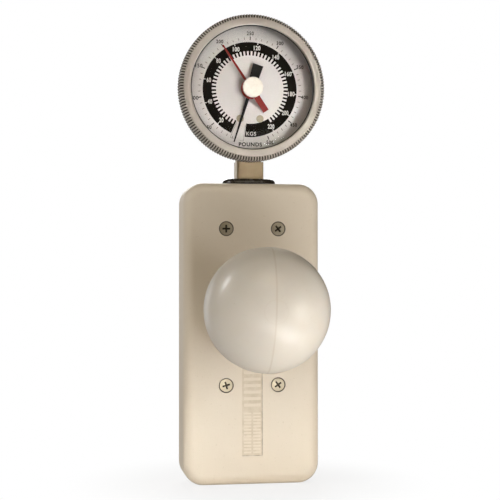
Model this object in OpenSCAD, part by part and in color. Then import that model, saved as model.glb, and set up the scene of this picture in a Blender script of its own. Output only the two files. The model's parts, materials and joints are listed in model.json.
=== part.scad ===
// Hydraulic push-type hand dynamometer with a dial gauge.
// Frame: origin at the centre of the housing's flat base, +Z up to the gauge, the pad and the dial face -Y.
// Dimensions are in millimetres.

/* [Housing] */
// Width of the housing
housing_w = 85; // [82:0.5:92]
// Height of the housing
housing_h = 186.5; // [184:0.5:196]
// Depth of the housing from its front face to its rear face
housing_d = 30; // [29:0.5:34]
// Radius of the housing's corners, seen from the front
corner_r = 12.7; // [10:0.1:15]
// Radius of the edge round the front face
front_edge_r = 6; // [3:0.5:7]
// Radius of the edge round the rear face
rear_edge_r = 2.5; // [1:0.5:3]
// Wall of the front shell
shell_wall = 2.5; // [2:0.1:3]
// Thickness of the rear cover
cover_t = 4; // [3.5:0.1:5]
// Thickness of the rear cover inside its pocket
cover_skin = 2.5; // [2:0.1:3]
// Height of the rear cover's locating lip
lip_h = 2; // [1:0.5:3]
// Thickness of the rear cover's locating lip
lip_t = 1.5; // [1:0.1:2]
// Radius of the screw bosses in the front shell
boss_r = 4; // [3.5:0.1:4.5]
// Distance of the end bosses from the ends of the housing
boss_end = 15; // [14:0.5:18]

/* [Label panel] */
// Width of the recessed panel on the front face
panel_w = 12.8; // [10:0.1:16]
// Height of the bottom edge of the panel above the base
panel_z = 18; // [14:0.5:24]
// Length of the panel
panel_l = 58; // [40:1:64]
// Depth of the panel's recess
panel_depth = 0.6; // [0.3:0.1:1]
// Height of the plain ribs in the panel
rib_h = 0.4; // [0.2:0.1:0.5]
// Spacing of the broad ribs in the upper part of the panel
broad_pitch = 4; // [3:0.5:6]
// Width of a broad rib
broad_w = 1.8; // [1:0.1:2.4]
// Length of the two columns of narrow ribs in the lower part of the panel
columns_l = 28; // [20:1:34]
// Spacing of the narrow ribs
narrow_pitch = 2; // [1.6:0.1:3]
// Width of a narrow rib
narrow_w = 1; // [0.8:0.1:1.4]

/* [Push pad] */
// Distance of the lock nut in front of the housing at rest
nut_out = 12; // [8:0.5:16]
// Largest radius of the pad
pad_r = 36.45; // [32:0.05:40]
// Height of the pad's dome in front of its straight side
pad_dome_h = 26.9; // [24:0.1:30]
// Length of the pad's straight side
pad_side_l = 7.5; // [4:0.1:10]
// Radius of the pad's front shoulder
pad_shoulder_r = 21; // [16:0.5:23]
// Radius of the pad's rear shoulder
pad_rear_r = 13; // [9:0.5:14]
// Radius of the collar behind the pad
pad_collar_r = 17; // [16:0.5:19]
// Length of the collar behind the pad
pad_collar_l = 9; // [6:0.5:11]
// Radius of the blend between the collar and the pad
pad_blend_r = 5; // [2:0.5:6]
// Radius of the hub's boss
hub_r = 13; // [12:0.5:14]
// Radius of the hub's flange inside the pad
hub_flange_r = 22; // [18:0.5:24]
// Thickness of the hub's flange
hub_flange_t = 5; // [4:0.5:7]
// Depth of the hub's flange behind the rear of the pad's body
hub_inset = 4; // [3:0.5:6]
// Length of the hub's boss behind its flange
hub_boss_l = 20; // [16:0.5:24]
// Depth of the rod's seat in the hub, past the back of the flange
hub_seat = 2; // [1:0.5:3]
// Thickness of the lock nut behind the hub
nut_h = 6; // [4:0.5:7]
// Size of the lock nut across its corners
nut_corners = 26; // [24:0.5:30]

/* [Hydraulic cell] */
// Width of the cell block
cell_w = 46; // [42:0.5:56]
// Reach of the cell block below its lower screws
cell_end_below = 7.7; // [5:0.1:12]
// Reach of the cell block above its upper screws
cell_end_above = 17.7; // [15:0.1:20]
// Distance of the cell block below the housing's inner top
cell_top_gap = 8; // [4:0.5:12]
// Corner radius of the cell block
cell_corner_r = 5; // [2:0.5:6]
// Radius of the cylinder bore, which gives one square inch
bore_r = 14.35; // [13:0.05:15]
// Distance of the cell block in front of the rear cover
cell_rear_gap = 0.3; // [0.2:0.1:1]
// Radius of the gland's thread
gland_r = 17.5; // [17:0.1:19]
// Thickness of the gland
gland_h = 6; // [5:0.5:7]
// Radius of the push rod
rod_r = 8; // [7:0.1:9]
// Radius of the rod's spigot in the piston
spigot_r = 5; // [4:0.1:6]
// Thickness of the piston
piston_h = 6.4; // [6:0.1:8]
// Diameter of the piston seal's section
seal_d = 2.6; // [2:0.1:3]
// Travel of the push rod at full load
push_travel = 2; // [1:0.1:2.5]
// Oil left under the piston at full load
oil_gap = 1.9; // [1.5:0.1:3]
// Radius of the oil passages
passage_r = 1.5; // [1:0.1:1.8]
// Radius of the filler plug's thread
plug_r = 3; // [2.5:0.1:3.2]
// Length of the filler plug's thread
plug_l = 8; // [6:0.5:10]
// Radius of the filler plug's head
plug_head_r = 5; // [4.5:0.1:5.2]
// Height of the filler plug's head
plug_head_h = 4; // [3:0.5:5]
// Thickness of the filler plug's sealing washer
plug_seal_t = 1; // [0.8:0.1:1.5]
// Radius of the rod bushing's body
bushing_r = 11; // [10:0.1:12]
// Radius of the rod bushing's flange
bushing_flange_r = 13; // [12.5:0.1:15]
// Thickness of the rod bushing's flange
bushing_flange_t = 1.2; // [1:0.1:2]

/* [Screws] */
// Spacing of the four front screws across the housing
cell_screw_w = 32.5; // [32:0.1:36]
// Spacing of the four front screws along the housing
cell_screw_h = 96.6; // [94:0.1:98]
// Radius of a front screw's thread
cell_screw_r = 2; // [1.8:0.1:2.1]
// Radius of a front screw's head
cell_screw_head_r = 4; // [3.8:0.1:4.2]
// Depth of a front screw's head below the housing's face
cell_screw_sink = 0.4; // [0.2:0.1:0.45]
// Length of a front screw
cell_screw_l = 13; // [11:0.5:15]
// Turn of the cross recess of each front screw: top left, top right, bottom left, bottom right
cell_screw_turn = [0, 38, 17, 35];
// Radius of a rear cover screw's thread
cover_screw_r = 1.5; // [1.2:0.1:1.7]
// Radius of a rear cover screw's head
cover_screw_head_r = 2.9; // [2.7:0.1:3]
// Length of a rear cover screw
cover_screw_l = 14; // [10:0.5:18]

/* [Gauge] */
// Wall of the bezel round the case, over its knurling
bezel_wall = 3; // [2.5:0.1:4]
// Depth of the bezel
bezel_h = 14; // [12:0.1:15]
// Width of the bezel's face round the window
face_w = 7; // [6:0.1:8]
// Thickness of the bezel's face
face_t = 1.7; // [1.4:0.1:2.2]
// Number of teeth in the knurling round the bezel
knurl_count = 162; // [60:1:240]
// Depth of the knurling
knurl_depth = 0.6; // [0.3:0.05:0.7]
// Rounding of the bezel's front shoulder
shoulder_r = 2.4; // [1.5:0.1:2.6]
// Rounding of the gauge case's rear edge
case_edge_r = 3; // [2:0.5:4]
// Wall of the gauge case
case_wall = 1; // [0.8:0.1:1.2]
// Thickness of the lens
lens_t = 2.4; // [2:0.1:2.6]
// Thickness of the lens gasket
gasket_t = 0.7; // [0.5:0.1:1]
// Width of the lens gasket
gasket_w = 3.2; // [2:0.1:3.6]
// Distance of the lens in front of the maximum hand
lens_gap = 2.9; // [2.6:0.1:4]
// Distance of the dial's face in front of the stem's axis
dial_front = 4.8; // [4.6:0.1:5]
// Thickness of the dial
dial_t = 0.8; // [0.5:0.1:1]
// Radius of the rubber vent plug in the back of the case
vent_r = 5; // [4:0.1:6]
// Height of the vent plug above the gauge's axis
vent_up = 20; // [14:0.5:26]
// Width of the vent plug's lip
vent_lip = 1.5; // [1:0.1:2]
// Height of the vent plug's lip
vent_lip_h = 0.5; // [0.3:0.1:0.6]

/* [Stem and socket] */
// Distance of the stem's axis in front of the middle of the housing
stem_lead = 1; // [0:0.1:2]
// Length of the neck between the grommet and the bezel
neck_l = 10.3; // [8:0.1:14]
// Width of the neck across its flats
neck_w = 16.9; // [16:0.1:18]
// Depth of the neck from front to rear
neck_d = 13; // [12.5:0.1:14]
// Radius of the neck's upright edges
neck_edge_r = 1.3; // [1:0.1:3]
// Radius of the round stem below the neck
stem_r = 7; // [6.8:0.1:7.5]
// Radius of the stem's thread in the cell block
stem_thread_r = 6.5; // [6.2:0.1:6.6]
// Length of the stem's thread in the cell block
stem_thread_l = 14; // [10:0.5:15]
// Length of the grommet across the housing
grommet_l = 33.4; // [30:0.1:36]
// Depth of the grommet from front to rear
grommet_d = 18; // [17:0.1:19]
// Height of the grommet above the housing
grommet_h = 3.3; // [3:0.1:4]
// Rounding of the grommet's upper edge
grommet_edge_r = 3; // [1.5:0.1:3]
// Radius of the grommet's spigot in the housing
grommet_spigot_r = 8.8; // [8.5:0.1:9]
// Half width of the socket's head inside the case
head_w = 13; // [12:0.1:15]
// Half width of the socket where it passes through the case
waist_w = 7.5; // [7:0.1:8]
// Height of the socket's head inside the case
head_h = 16.5; // [16:0.1:17.5]

/* [Tube and movement] */
// Distance of the tube's centre line inside the case's wall
tube_inset = 11; // [10.5:0.1:11.5]
// Width of the tube's oval section, front to rear
tube_w = 7.5; // [6:0.1:8]
// Thickness of the tube's oval section
tube_t = 4.5; // [4:0.1:5]
// Wall of the tube
tube_wall = 0.6; // [0.4:0.05:0.8]
// Angle of the tube's root in the socket, counter-clockwise from the right
tube_root_angle = 250; // [249:0.5:252]
// Angle of the tube's free end
tube_end_angle = -15; // [-16:0.5:-14]
// Angle taken up by the tip piece on the tube's free end
tip_angle = 9; // [8.5:0.5:11]
// Module of the gear teeth
gear_module = 0.4; // [0.38:0.01:0.41]
// Number of teeth on the pinion
pinion_teeth = 10; // [10:1:11]
// Number of teeth that the sector would have on a full circle
sector_full_teeth = 100; // [96:2:104]
// Sweep of the pointer at full load
pointer_sweep = 322.5; // [300:0.5:325]
// Direction from the sector's pivot to the pinion
mesh_angle = 68.7; // [67:0.1:70]
// Length of the sector's tail arm
tail_l = 9; // [8:0.1:9.5]
// Direction of the tail arm at rest
tail_angle = -77.4; // [-80:0.1:-75]
// Thickness of the sector
sector_t = 1; // [0.8:0.1:1.2]
// Thickness of the link
link_t = 0.8; // [0.6:0.1:1]
// Width of the link
link_w = 3.2; // [3:0.1:3.6]
// Radius of the pins at the link's ends
link_pin_r = 0.8; // [0.7:0.05:0.9]
// Side play of the link's slot on the pin at the tube's tip
slot_play = 0.5; // [0.4:0.05:0.6]
// Thickness of the movement plates
plate_t = 1; // [0.8:0.1:1.2]
// Distance between the movement plates
plate_gap = 6.5; // [6.4:0.1:7]
// Width of the movement plates
plate_w = 34; // [32:0.5:35]
// Reach of the movement plates above the gauge's axis
plate_up = 9.5; // [8:0.1:11]
// Reach of the movement plates below the sector's tail
plate_margin = 2.5; // [2.3:0.1:3.5]
// Distance of the movement plates' lower edge inside the case's wall
plate_inset = 9.5; // [9:0.1:11]
// Inset of the pillars from the edges of the movement plates
pillar_inset = 3.5; // [3:0.1:3.6]
// Radius of the pillars
pillar_r = 1.75; // [1.5:0.05:2]
// Height of the bosses that carry the dial
dial_boss_h = 1.4; // [1.2:0.1:1.6]
// Radius of the sector's arbor
sector_arbor_r = 1; // [0.8:0.05:1.2]
// Radius of the pinion's arbor
pinion_arbor_r = 0.75; // [0.6:0.05:0.85]
// Number of turns of the hairspring
hairspring_turns = 5; // [3:1:6]
// Thickness of the hairspring's strip
hairspring_t = 0.25; // [0.15:0.05:0.3]
// Outer radius of the hairspring
hairspring_r = 6.4; // [5.5:0.1:6.8]

/* [Hands and dial screws] */
// Direction of the pointer at rest, clockwise from the top
pointer_rest = 197.5; // [195:0.5:200]
// Distance of the pointer's tip inside the window
pointer_margin = 3.7; // [2:0.1:6]
// Reach of the pointer's tail
pointer_tail = 16; // [12:0.1:16.5]
// Direction of the maximum hand at rest, clockwise from the top
max_rest = 326.2; // [320:0.1:336]
// Distance of the maximum hand's tip inside the window
max_margin = 6.5; // [4:0.1:10]
// Reach of the maximum hand's tail
max_tail = 16.8; // [14:0.1:18]
// Distance of the pointer in front of the dial
pointer_gap = 2.4; // [2:0.1:2.6]
// Distance of the maximum hand in front of the pointer
max_gap = 2; // [1.8:0.1:2.2]
// Thickness of the hands
hand_t = 0.4; // [0.3:0.05:0.5]
// Radius of the reset knob
knob_r = 6.3; // [5.5:0.1:7]
// Thickness of the reset knob
knob_h = 2.25; // [1.8:0.05:2.6]
// Radius of the reset spindle
spindle_r = 1.5; // [1.3:0.1:1.7]
// Radius of the bush in the lens
bush_r = 3; // [2.6:0.1:3.2]
// Distance of the dial screws inside the circle through the sector's pivot
dial_screw_step = 2.7; // [2.6:0.1:3.5]
// Angle of each dial screw from the lowest point of the dial
dial_screw_angle = 19; // [18.5:0.1:20]

/* [Fits] */
// Radial clearance of a running fit
running = 0.05; // [0.03:0.01:0.08]
// Clearance between pieces that are pressed, screwed or brazed together
seat_gap = 0.02; // [0.01:0.01:0.03]
// Clearance round a piece that drops into place
drop_gap = 0.15; // [0.1:0.05:0.2]
// Clearance beside a piece that moves freely
free_gap = 0.3; // [0.25:0.05:0.35]

/* [Hidden] */
$fn = 72;
cut = 0.5;
small_fn = 32;

// Colours as the photograph shows them
cream = [0.90, 0.84, 0.75];
off_white = [0.88, 0.84, 0.79];
satin_steel = [0.66, 0.62, 0.57];
brass_tone = [0.72, 0.60, 0.38];
ink = [0.10, 0.09, 0.08];
signal_red = [0.66, 0.20, 0.16];

// Housing
front_y = -housing_d / 2;
rear_y = housing_d / 2;
shell_d = housing_d - cover_t;
inner_w = housing_w - 2 * shell_wall;
inner_h = housing_h - 2 * shell_wall;
inner_corner_r = corner_r - shell_wall;
centre_z = housing_h / 2;
boss_x = inner_w / 2 - boss_r + cut;
boss_places = [for (z = [boss_end, centre_z, housing_h - boss_end], s = [-1, 1]) [s * boss_x, z - centre_z]];
rib_inset = 1.2;
column_w = panel_w / 2 - 1.5 * rib_inset;
column_x = (column_w + rib_inset) / 2;
broad_ribs = floor((panel_l - columns_l - rib_inset) / broad_pitch);
narrow_ribs = floor((columns_l - rib_inset) / narrow_pitch);
pocket_gap = 1;

// Push axis, measured outwards from the housing's front face
gland_hole_r = 1.5;
gland_hole_depth = 3;
cell_front = -shell_wall;
gland_back = cell_front - gland_h;
piston_front = gland_back - seat_gap;
piston_back = piston_front - piston_h;
bore_floor = piston_back - push_travel - oil_gap;
cell_back = cover_t + cell_rear_gap - housing_d;
cell_d = cell_front - cell_back;
passage_out = bore_floor + passage_r + cut;
hub_back = nut_out + nut_h;
hub_flange_back = hub_back + hub_boss_l;
hub_flange_front = hub_flange_back + hub_flange_t;
rod_end = hub_flange_back + hub_seat;
pad_back = hub_flange_back - hub_inset;
pad_side_back = pad_back + pad_rear_r;
pad_side_out = pad_side_back + pad_side_l;
pad_out = pad_side_out + pad_dome_h;
collar_back = pad_back - pad_collar_l;
pad_crown_r = (pad_r * pad_r - 2 * pad_r * pad_shoulder_r + pad_dome_h * pad_dome_h)
  / (2 * (pad_dome_h - pad_shoulder_r));
pad_crown_turn = asin((pad_r - pad_shoulder_r) / (pad_crown_r - pad_shoulder_r));
cell_below = cell_screw_h / 2 + cell_end_below;
cell_above = cell_screw_h / 2 + cell_end_above;
push_z = housing_h - shell_wall - cell_top_gap - cell_above;
cell_screw_run_out = 0.6;
cell_screw_depth = cell_screw_sink + cell_screw_l + cell_screw_run_out;
cell_screw_places = [for (sz = [1, -1], sx = [-1, 1]) [sx * cell_screw_w / 2, sz * cell_screw_h / 2]];

// Gauge, measured forwards from the stem's axis
stem_y = -stem_lead;
lip_bevel = 0.6;
pitch_r = gear_module * pinion_teeth / 2;
sector_r = gear_module * sector_full_teeth / 2;
pivot_distance = pitch_r + sector_r;
pivot = -pivot_distance * [cos(mesh_angle), sin(mesh_angle)];
plate_down = tail_l + plate_margin - pivot[1];
case_inner_r = plate_down + plate_inset;
case_r = case_inner_r + case_wall;
bezel_r = case_r + bezel_wall;
window_r = bezel_r - face_w;
gauge_z = housing_h + grommet_h + neck_l + bezel_r;
pointer_back = dial_front + pointer_gap;
pointer_front = pointer_back + hand_t;
max_back = pointer_front + max_gap;
max_front = max_back + hand_t;
lens_back = max_front + lens_gap;
lens_front = lens_back + lens_t;
bezel_front = lens_front + face_t;
bezel_back = bezel_front - bezel_h;
case_front = lens_back - gasket_t;
dial_r = case_inner_r - free_gap;
dial_back = dial_front - dial_t;
plate_front = dial_back - dial_boss_h;
gap_front = plate_front - plate_t;
gap_back = gap_front - plate_gap;
head_front = gap_back - plate_t;
head_top = case_inner_r - head_h;
tube_mean_r = case_inner_r - tube_inset;
tube_front = head_front - cut;
tube_mid = tube_front - tube_w / 2;
case_floor = tube_front - tube_w - cut;
case_back = case_floor - case_wall;
head_d = head_front - case_floor;
tube_root = 14;
tip_clear = 0.4;
tip_margin = 1;
tip_front = head_front - tip_clear;
tip_post_r = 2.2;
pin_seat = 2;

// Stem
cell_top = push_z + cell_above;
neck_bottom = housing_h + grommet_h;
stem_bottom = cell_top - stem_thread_l;
neck_top = gauge_z - case_r + 2;
waist_bottom = -bezel_r - 1;
waist_top = -plate_down - 1.5;
waist_slot_h = case_r / 2;
passage_level = 2 * passage_r - case_inner_r;
tube_level = 1 - tube_mean_r;
tube_drilling_l = tube_mean_r / 3;

// Movement
head_screw_step = 5.5;
head_screw_x = plate_w / 2 - pillar_inset - head_screw_step;
head_screw_inset = 3.4;
case_screw_x = 8.5;
case_screw_inset = 6;
arbor_end_gap = 0.2;
sector_lift = 2;
sector_rim = 3.5;
sector_hub_r = 3.6;
spoke_w = 2.2;
spoke_turn = 12;
tail_w = 3.2;
collar_r = 2;
plate_corner_r = 4;
pin_head_r = 1.4;
pin_head_h = 0.5;
link_waist = 0.4;
link_edge = 1;
sector_tooth = [0.65, 1.15];
pinion_tooth = [0.9, 1];
pinion_overlap = 0.5;
dial_screw_circle = pivot_distance - dial_screw_step;
swing = pointer_sweep * pinion_teeth / sector_full_teeth;
tooth_step = 360 / sector_full_teeth;
tip_point = tube_mean_r * [cos(tube_end_angle - tip_angle / 2), sin(tube_end_angle - tip_angle / 2)];
tail_rest = pivot + tail_l * [cos(tail_angle), sin(tail_angle)];
tail_full = pivot + tail_l * [cos(tail_angle + swing), sin(tail_angle + swing)];
link_l = norm(tip_point - tail_rest);
link_turn = atan2(tip_point[1] - tail_rest[1], tip_point[0] - tail_rest[0]);
link_travel = link_l - norm(tip_point - tail_full);
sector_back = gap_back + sector_lift;
sector_front = sector_back + sector_t;
link_back = sector_front + arbor_end_gap;
link_front = link_back + link_t;
pinion_back = sector_back - pinion_overlap;
pinion_front = sector_front + pinion_overlap;
collet_r = 1.6;
neck_r = 1.2;
spring_lift = 1;
spring_back = pinion_front + spring_lift;
spring_h = 1;
spring_inner_r = collet_r + free_gap;
stud_r = 0.8;
stud_angle = 150;
pillar_places = [for (y = [plate_up - pillar_inset, -plate_down + pillar_inset], s = [-1, 1])
  [s * (plate_w / 2 - pillar_inset), y]];
head_screw_places = [for (s = [-1, 1]) [s * head_screw_x, head_screw_inset - plate_down]];
dial_screw_places = [for (s = [-1, 1])
  dial_screw_circle * [s * sin(dial_screw_angle), -cos(dial_screw_angle)]];
case_screw_places = [for (s = [-1, 1]) [s * case_screw_x, case_screw_inset - case_inner_r]];

// Small screws of the gauge: thread radius, head radius and, under a raised head, its height
case_screw = [1.5, 2.9];
case_screw_l = 6;
case_screw_turn = 20;
head_screw = [1, 1.9, 1.2];
head_screw_l = 3;
pillar_screw = [0.8, 1.6, 0.9];
pillar_screw_l = 2;
dial_screw = [0.9, 2.3, 0.8];
dial_boss_r = 1.7;

// Hands
pointer_hub_r = 2.6;
pointer_disc_r = 4.5;
pointer_root_w = 2.5;
pointer_tip_w = 0.7;
pointer_tail_w = [5.2, 6.8];
max_root_w = 1.8;
max_tip_w = 0.9;
max_tail_w = 3.9;
max_collet_r = 3;
carry_tab = [0.8, 1.6];
carry_tab_r = 22;
dial_hole_r = 2.8;
pointer_l = window_r - pointer_margin;
max_l = window_r - max_margin;
bush_flange_t = 0.6;
bush_flange_w = 1.4;
washer_t = 0.3;
washer_w = 1.2;
disc_edge = 0.25;
bush_back = lens_back - bush_flange_t;
knob_back = lens_front + running + washer_t;
knob_edge_r = 0.7;

// Gauge frame: x to the right, y up, z towards the viewer
module at_gauge() translate([0, stem_y, gauge_z]) rotate([90, 0, 0]) children();

// Push frame: x to the right, y up, z outwards from the housing's front face
module at_push() translate([0, front_y, push_z]) rotate([90, 0, 0]) children();

// Housing frame: x to the right, y up from the housing's centre, z forwards from the rear face
module at_rear() translate([0, rear_y, centre_z]) rotate([90, 0, 0]) children();

function arc(c, r, from, to, steps) =
  [for (i = [0 : steps]) let (a = from + (to - from) * i / steps) c + r * [cos(a), sin(a)]];

// Flat shapes
module rounded_rect(w, h, r) {
  square([w, h - 2 * r], center = true);
  square([w - 2 * r, h], center = true);
  for (sx = [-1, 1], sy = [-1, 1])
    translate([sx * (w / 2 - r), sy * (h / 2 - r)]) circle(r);
}

module edge_section(w, h, r) {
  square([w - r, h]);
  square([w, h - r]);
  intersection() {
    translate([w - r, h - r]) circle(r);
    square([w, h]);
  }
}

// A block with round corners and a round edge at the top
module soft_block(w, h, corner, edge, d) {
  side_w = w / 2 - corner;
  side_h = h / 2 - corner;
  for (q = [[1, 1, 0], [-1, 1, 90], [-1, -1, 180], [1, -1, 270]])
    translate([q[0] * side_w, q[1] * side_h]) rotate(q[2])
      rotate_extrude(angle = 90) edge_section(corner, d, edge);
  for (s = [-1, 1]) {
    translate([s * side_w, 0]) rotate([90, 0, 0]) linear_extrude(2 * side_h, center = true)
      scale([s, 1]) edge_section(corner, d, edge);
    translate([0, s * side_h]) rotate([90, 0, 90]) linear_extrude(2 * side_w, center = true)
      scale([s, 1]) edge_section(corner, d, edge);
  }
  translate([-side_w, -side_h]) cube([2 * side_w, 2 * side_h, d]);
}

// A bar with round ends and a round upper edge
module soft_bar(l, w, edge, h) {
  reach = (l - w) / 2;
  for (s = [0, 1])
    rotate(180 * s) translate([reach, 0]) rotate(-90)
      rotate_extrude(angle = 180) edge_section(w / 2, h, edge);
  rotate([90, 0, 90]) linear_extrude(2 * reach, center = true) {
    edge_section(w / 2, h, edge);
    scale([-1, 1]) edge_section(w / 2, h, edge);
  }
}

// Ring between two radii
module ring(outer, inner, h) {
  difference() {
    cylinder(r = outer, h = h);
    translate([0, 0, -cut]) cylinder(r = inner, h = h + 2 * cut);
  }
}

// Cross recess with a conical centre, cut downwards from z = 0
module cross_recess(size) {
  for (a = [0, 90])
    rotate(a) translate([-size / 2, -size / 9, -size * 0.4]) cube([size, size * 2 / 9, size]);
  translate([0, 0, -size * 0.45]) cylinder(r1 = 0.2, r2 = size * 0.27, h = size * 0.45, $fn = small_fn);
}

// Countersunk screw with its head's face at z = 0 and its thread downwards
module flat_screw(head, thread, l, turn) {
  head_h = head - thread;
  difference() {
    union() {
      translate([0, 0, -head_h]) cylinder(r1 = thread, r2 = head, h = head_h, $fn = small_fn);
      translate([0, 0, -l]) cylinder(r = thread, h = l - head_h, $fn = small_fn);
    }
    rotate(turn) cross_recess(head * 1.1);
  }
}

// The cone that a countersunk head drops into
module countersink(head, thread) {
  head_h = head - thread;
  translate([0, 0, -head_h])
    cylinder(r1 = thread + drop_gap, r2 = head + drop_gap, h = head_h, $fn = small_fn);
}

// The hole for a countersunk screw through a wall
module flat_screw_hole(head, thread, wall) {
  countersink(head, thread);
  translate([0, 0, -wall - cut]) cylinder(r = thread + drop_gap, h = wall + 2 * cut, $fn = small_fn);
  cylinder(r = head + drop_gap, h = cut, $fn = small_fn);
}

// Slotted screw with its head above z = 0 and its thread downwards
module pan_screw(screw, l) {
  head = screw[1];
  difference() {
    union() {
      cylinder(r = head, h = screw[2], $fn = small_fn);
      translate([0, 0, -l]) cylinder(r = screw[0], h = l, $fn = small_fn);
    }
    translate([-head - cut, -head / 8, screw[2] / 2]) cube([2 * (head + cut), head / 4, screw[2]]);
  }
}

// The hole for a small screw, upwards from z = 0
module screw_hole(screw, l) {
  cylinder(r = screw[0] + seat_gap, h = l + cut, $fn = small_fn);
}

// Housing
module front_shell() {
  color(cream) {
    difference() {
      at_rear() translate([0, 0, cover_t]) shell_form();
      at_push() for (i = [0 : 3])
        translate(cell_screw_places[i])
          flat_screw_hole(cell_screw_head_r + cell_screw_sink, cell_screw_r, shell_wall);
      at_push() translate([0, 0, -shell_wall - cut])
        cylinder(r = bushing_r + seat_gap, h = shell_wall + 2 * cut);
      translate([0, stem_y, housing_h - shell_wall - cut])
        cylinder(r = grommet_spigot_r + seat_gap, h = shell_wall + 2 * cut);
      translate([0, front_y, panel_z + panel_l / 2]) rotate([90, 0, 0])
        translate([0, 0, -panel_depth]) label_recess();
    }
  }
}

module shell_form() {
  boss_h = shell_d - shell_wall;
  difference() {
    union() {
      difference() {
        soft_block(housing_w, housing_h, corner_r, front_edge_r, shell_d);
        translate([0, 0, -cut]) linear_extrude(boss_h + cut) rounded_rect(inner_w, inner_h, inner_corner_r);
      }
      for (p = boss_places) translate(p) cylinder(r = boss_r, h = boss_h + cut);
    }
    for (p = boss_places)
      translate([p[0], p[1], -cut])
        cylinder(r = cover_screw_r + seat_gap, h = cover_screw_l + cut, $fn = small_fn);
  }
}

module label_recess() {
  difference() {
    linear_extrude(panel_depth + cut) square([panel_w, panel_l], center = true);
    translate([0, 0, -cut]) linear_extrude(rib_h + cut) label_ribs();
  }
}

// Plain ribs stand where wording could be: one broad column over two narrow ones
module label_ribs() {
  for (i = [0 : broad_ribs - 1])
    translate([0, panel_l / 2 - (i + 0.5) * broad_pitch - rib_inset / 2])
      square([panel_w - 2 * rib_inset, broad_w], center = true);
  for (i = [0 : narrow_ribs - 1], s = [-1, 1])
    translate([s * column_x, rib_inset - panel_l / 2 + (i + 0.5) * narrow_pitch])
      square([column_w, narrow_w], center = true);
}

module rear_cover() {
  color(cream) at_rear() difference() {
    union() {
      translate([0, 0, cover_t]) mirror([0, 0, 1])
        soft_block(housing_w, housing_h, corner_r, rear_edge_r, cover_t);
      lip();
    }
    translate([0, 0, cover_skin]) linear_extrude(cover_t)
      rounded_rect(2 * (boss_x - boss_r - pocket_gap), inner_h - 4 * lip_t, inner_corner_r);
    for (p = boss_places)
      translate(p) mirror([0, 0, 1]) flat_screw_hole(cover_screw_head_r, cover_screw_r, cover_t);
  }
}

module lip() {
  w = inner_w - 2 * drop_gap;
  h = inner_h - 2 * drop_gap;
  r = inner_corner_r - drop_gap;
  translate([0, 0, cover_t - cut]) difference() {
    linear_extrude(lip_h + cut) rounded_rect(w, h, r);
    translate([0, 0, -cut]) linear_extrude(lip_h + 3 * cut)
      rounded_rect(w - 2 * lip_t, h - 2 * lip_t, r - lip_t);
    for (p = boss_places)
      translate([p[0], p[1], cut]) cylinder(r = boss_r + free_gap, h = lip_h + cut);
  }
}

module cover_screws() {
  color(satin_steel) at_rear() for (i = [0 : len(boss_places) - 1])
    translate(boss_places[i]) mirror([0, 0, 1])
      flat_screw(cover_screw_head_r, cover_screw_r, cover_screw_l, 25 * i);
}

module cell_screws() {
  color(satin_steel) at_push() for (i = [0 : 3])
    translate([cell_screw_places[i][0], cell_screw_places[i][1], -cell_screw_sink])
      flat_screw(cell_screw_head_r, cell_screw_r, cell_screw_l, cell_screw_turn[i]);
}

module stem_grommet() {
  color(ink) translate([0, stem_y, housing_h]) difference() {
    union() {
      soft_bar(grommet_l, grommet_d, grommet_edge_r, grommet_h);
      translate([0, 0, -shell_wall]) cylinder(r = grommet_spigot_r, h = shell_wall + cut);
    }
    translate([0, 0, -shell_wall - cut])
      cylinder(r = stem_r + seat_gap, h = grommet_h + shell_wall + 2 * cut);
  }
}

// Hydraulic cell
module cell_body() {
  color("silver") difference() {
    at_push() translate([0, (cell_above - cell_below) / 2, cell_back])
      linear_extrude(cell_d) rounded_rect(cell_w, cell_above + cell_below, cell_corner_r);
    at_push() {
      translate([0, 0, bore_floor]) cylinder(r = bore_r, h = cell_d);
      translate([0, 0, gland_back]) cylinder(r = gland_r + seat_gap, h = gland_h + cut);
      for (p = cell_screw_places)
        translate([p[0], p[1], -cell_screw_depth])
          cylinder(r = cell_screw_r + seat_gap, h = cell_screw_depth, $fn = small_fn);
    }
    translate([0, front_y - passage_out, push_z - cell_below - cut])
      cylinder(r = passage_r, h = cell_below + cell_above - stem_thread_l + 2 * cut, $fn = small_fn);
    translate([0, front_y - passage_out, push_z - cell_below - cut])
      cylinder(r = plug_r + seat_gap, h = plug_l + 2 * cut, $fn = small_fn);
    translate([0, stem_y, stem_bottom - cut])
      cylinder(r = stem_thread_r + seat_gap, h = stem_thread_l + 2 * cut);
  }
}

module gland_ring() {
  color(satin_steel) at_push() translate([0, 0, gland_back]) difference() {
    ring(gland_r, rod_r + running, gland_h);
    for (a = [0, 180])
      rotate(a) translate([(rod_r + gland_r) / 2, 0, gland_h - gland_hole_depth])
        cylinder(r = gland_hole_r, h = gland_hole_depth + cut, $fn = small_fn);
  }
}

module rod_bushing() {
  color(ink) at_push() difference() {
    union() {
      translate([0, 0, -shell_wall]) cylinder(r = bushing_r, h = shell_wall + cut);
      cylinder(r = bushing_flange_r, h = bushing_flange_t);
    }
    translate([0, 0, -shell_wall - cut])
      cylinder(r = rod_r + running, h = shell_wall + bushing_flange_t + 2 * cut);
  }
}

module at_plug() translate([0, front_y - passage_out, push_z - cell_below]) children();

module filler_plug() {
  color(satin_steel) at_plug() difference() {
    union() {
      translate([0, 0, -plug_seal_t]) cylinder(r = plug_r, h = plug_l + plug_seal_t, $fn = small_fn);
      translate([0, 0, -plug_seal_t - plug_head_h])
        cylinder(r = plug_head_r, h = plug_head_h, $fn = small_fn);
    }
    translate([0, 0, -plug_seal_t - plug_head_h - cut])
      cylinder(r = plug_r, h = plug_head_h / 2 + cut, $fn = 6);
  }
}

module plug_seal() {
  color(brass_tone) at_plug() translate([0, 0, -plug_seal_t])
    ring(plug_head_r, plug_r + seat_gap, plug_seal_t);
}

module seal_section(gap) {
  translate([bore_r - running - seal_d / 2, 0]) circle(seal_d / 2 + gap, $fn = small_fn);
}

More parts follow.
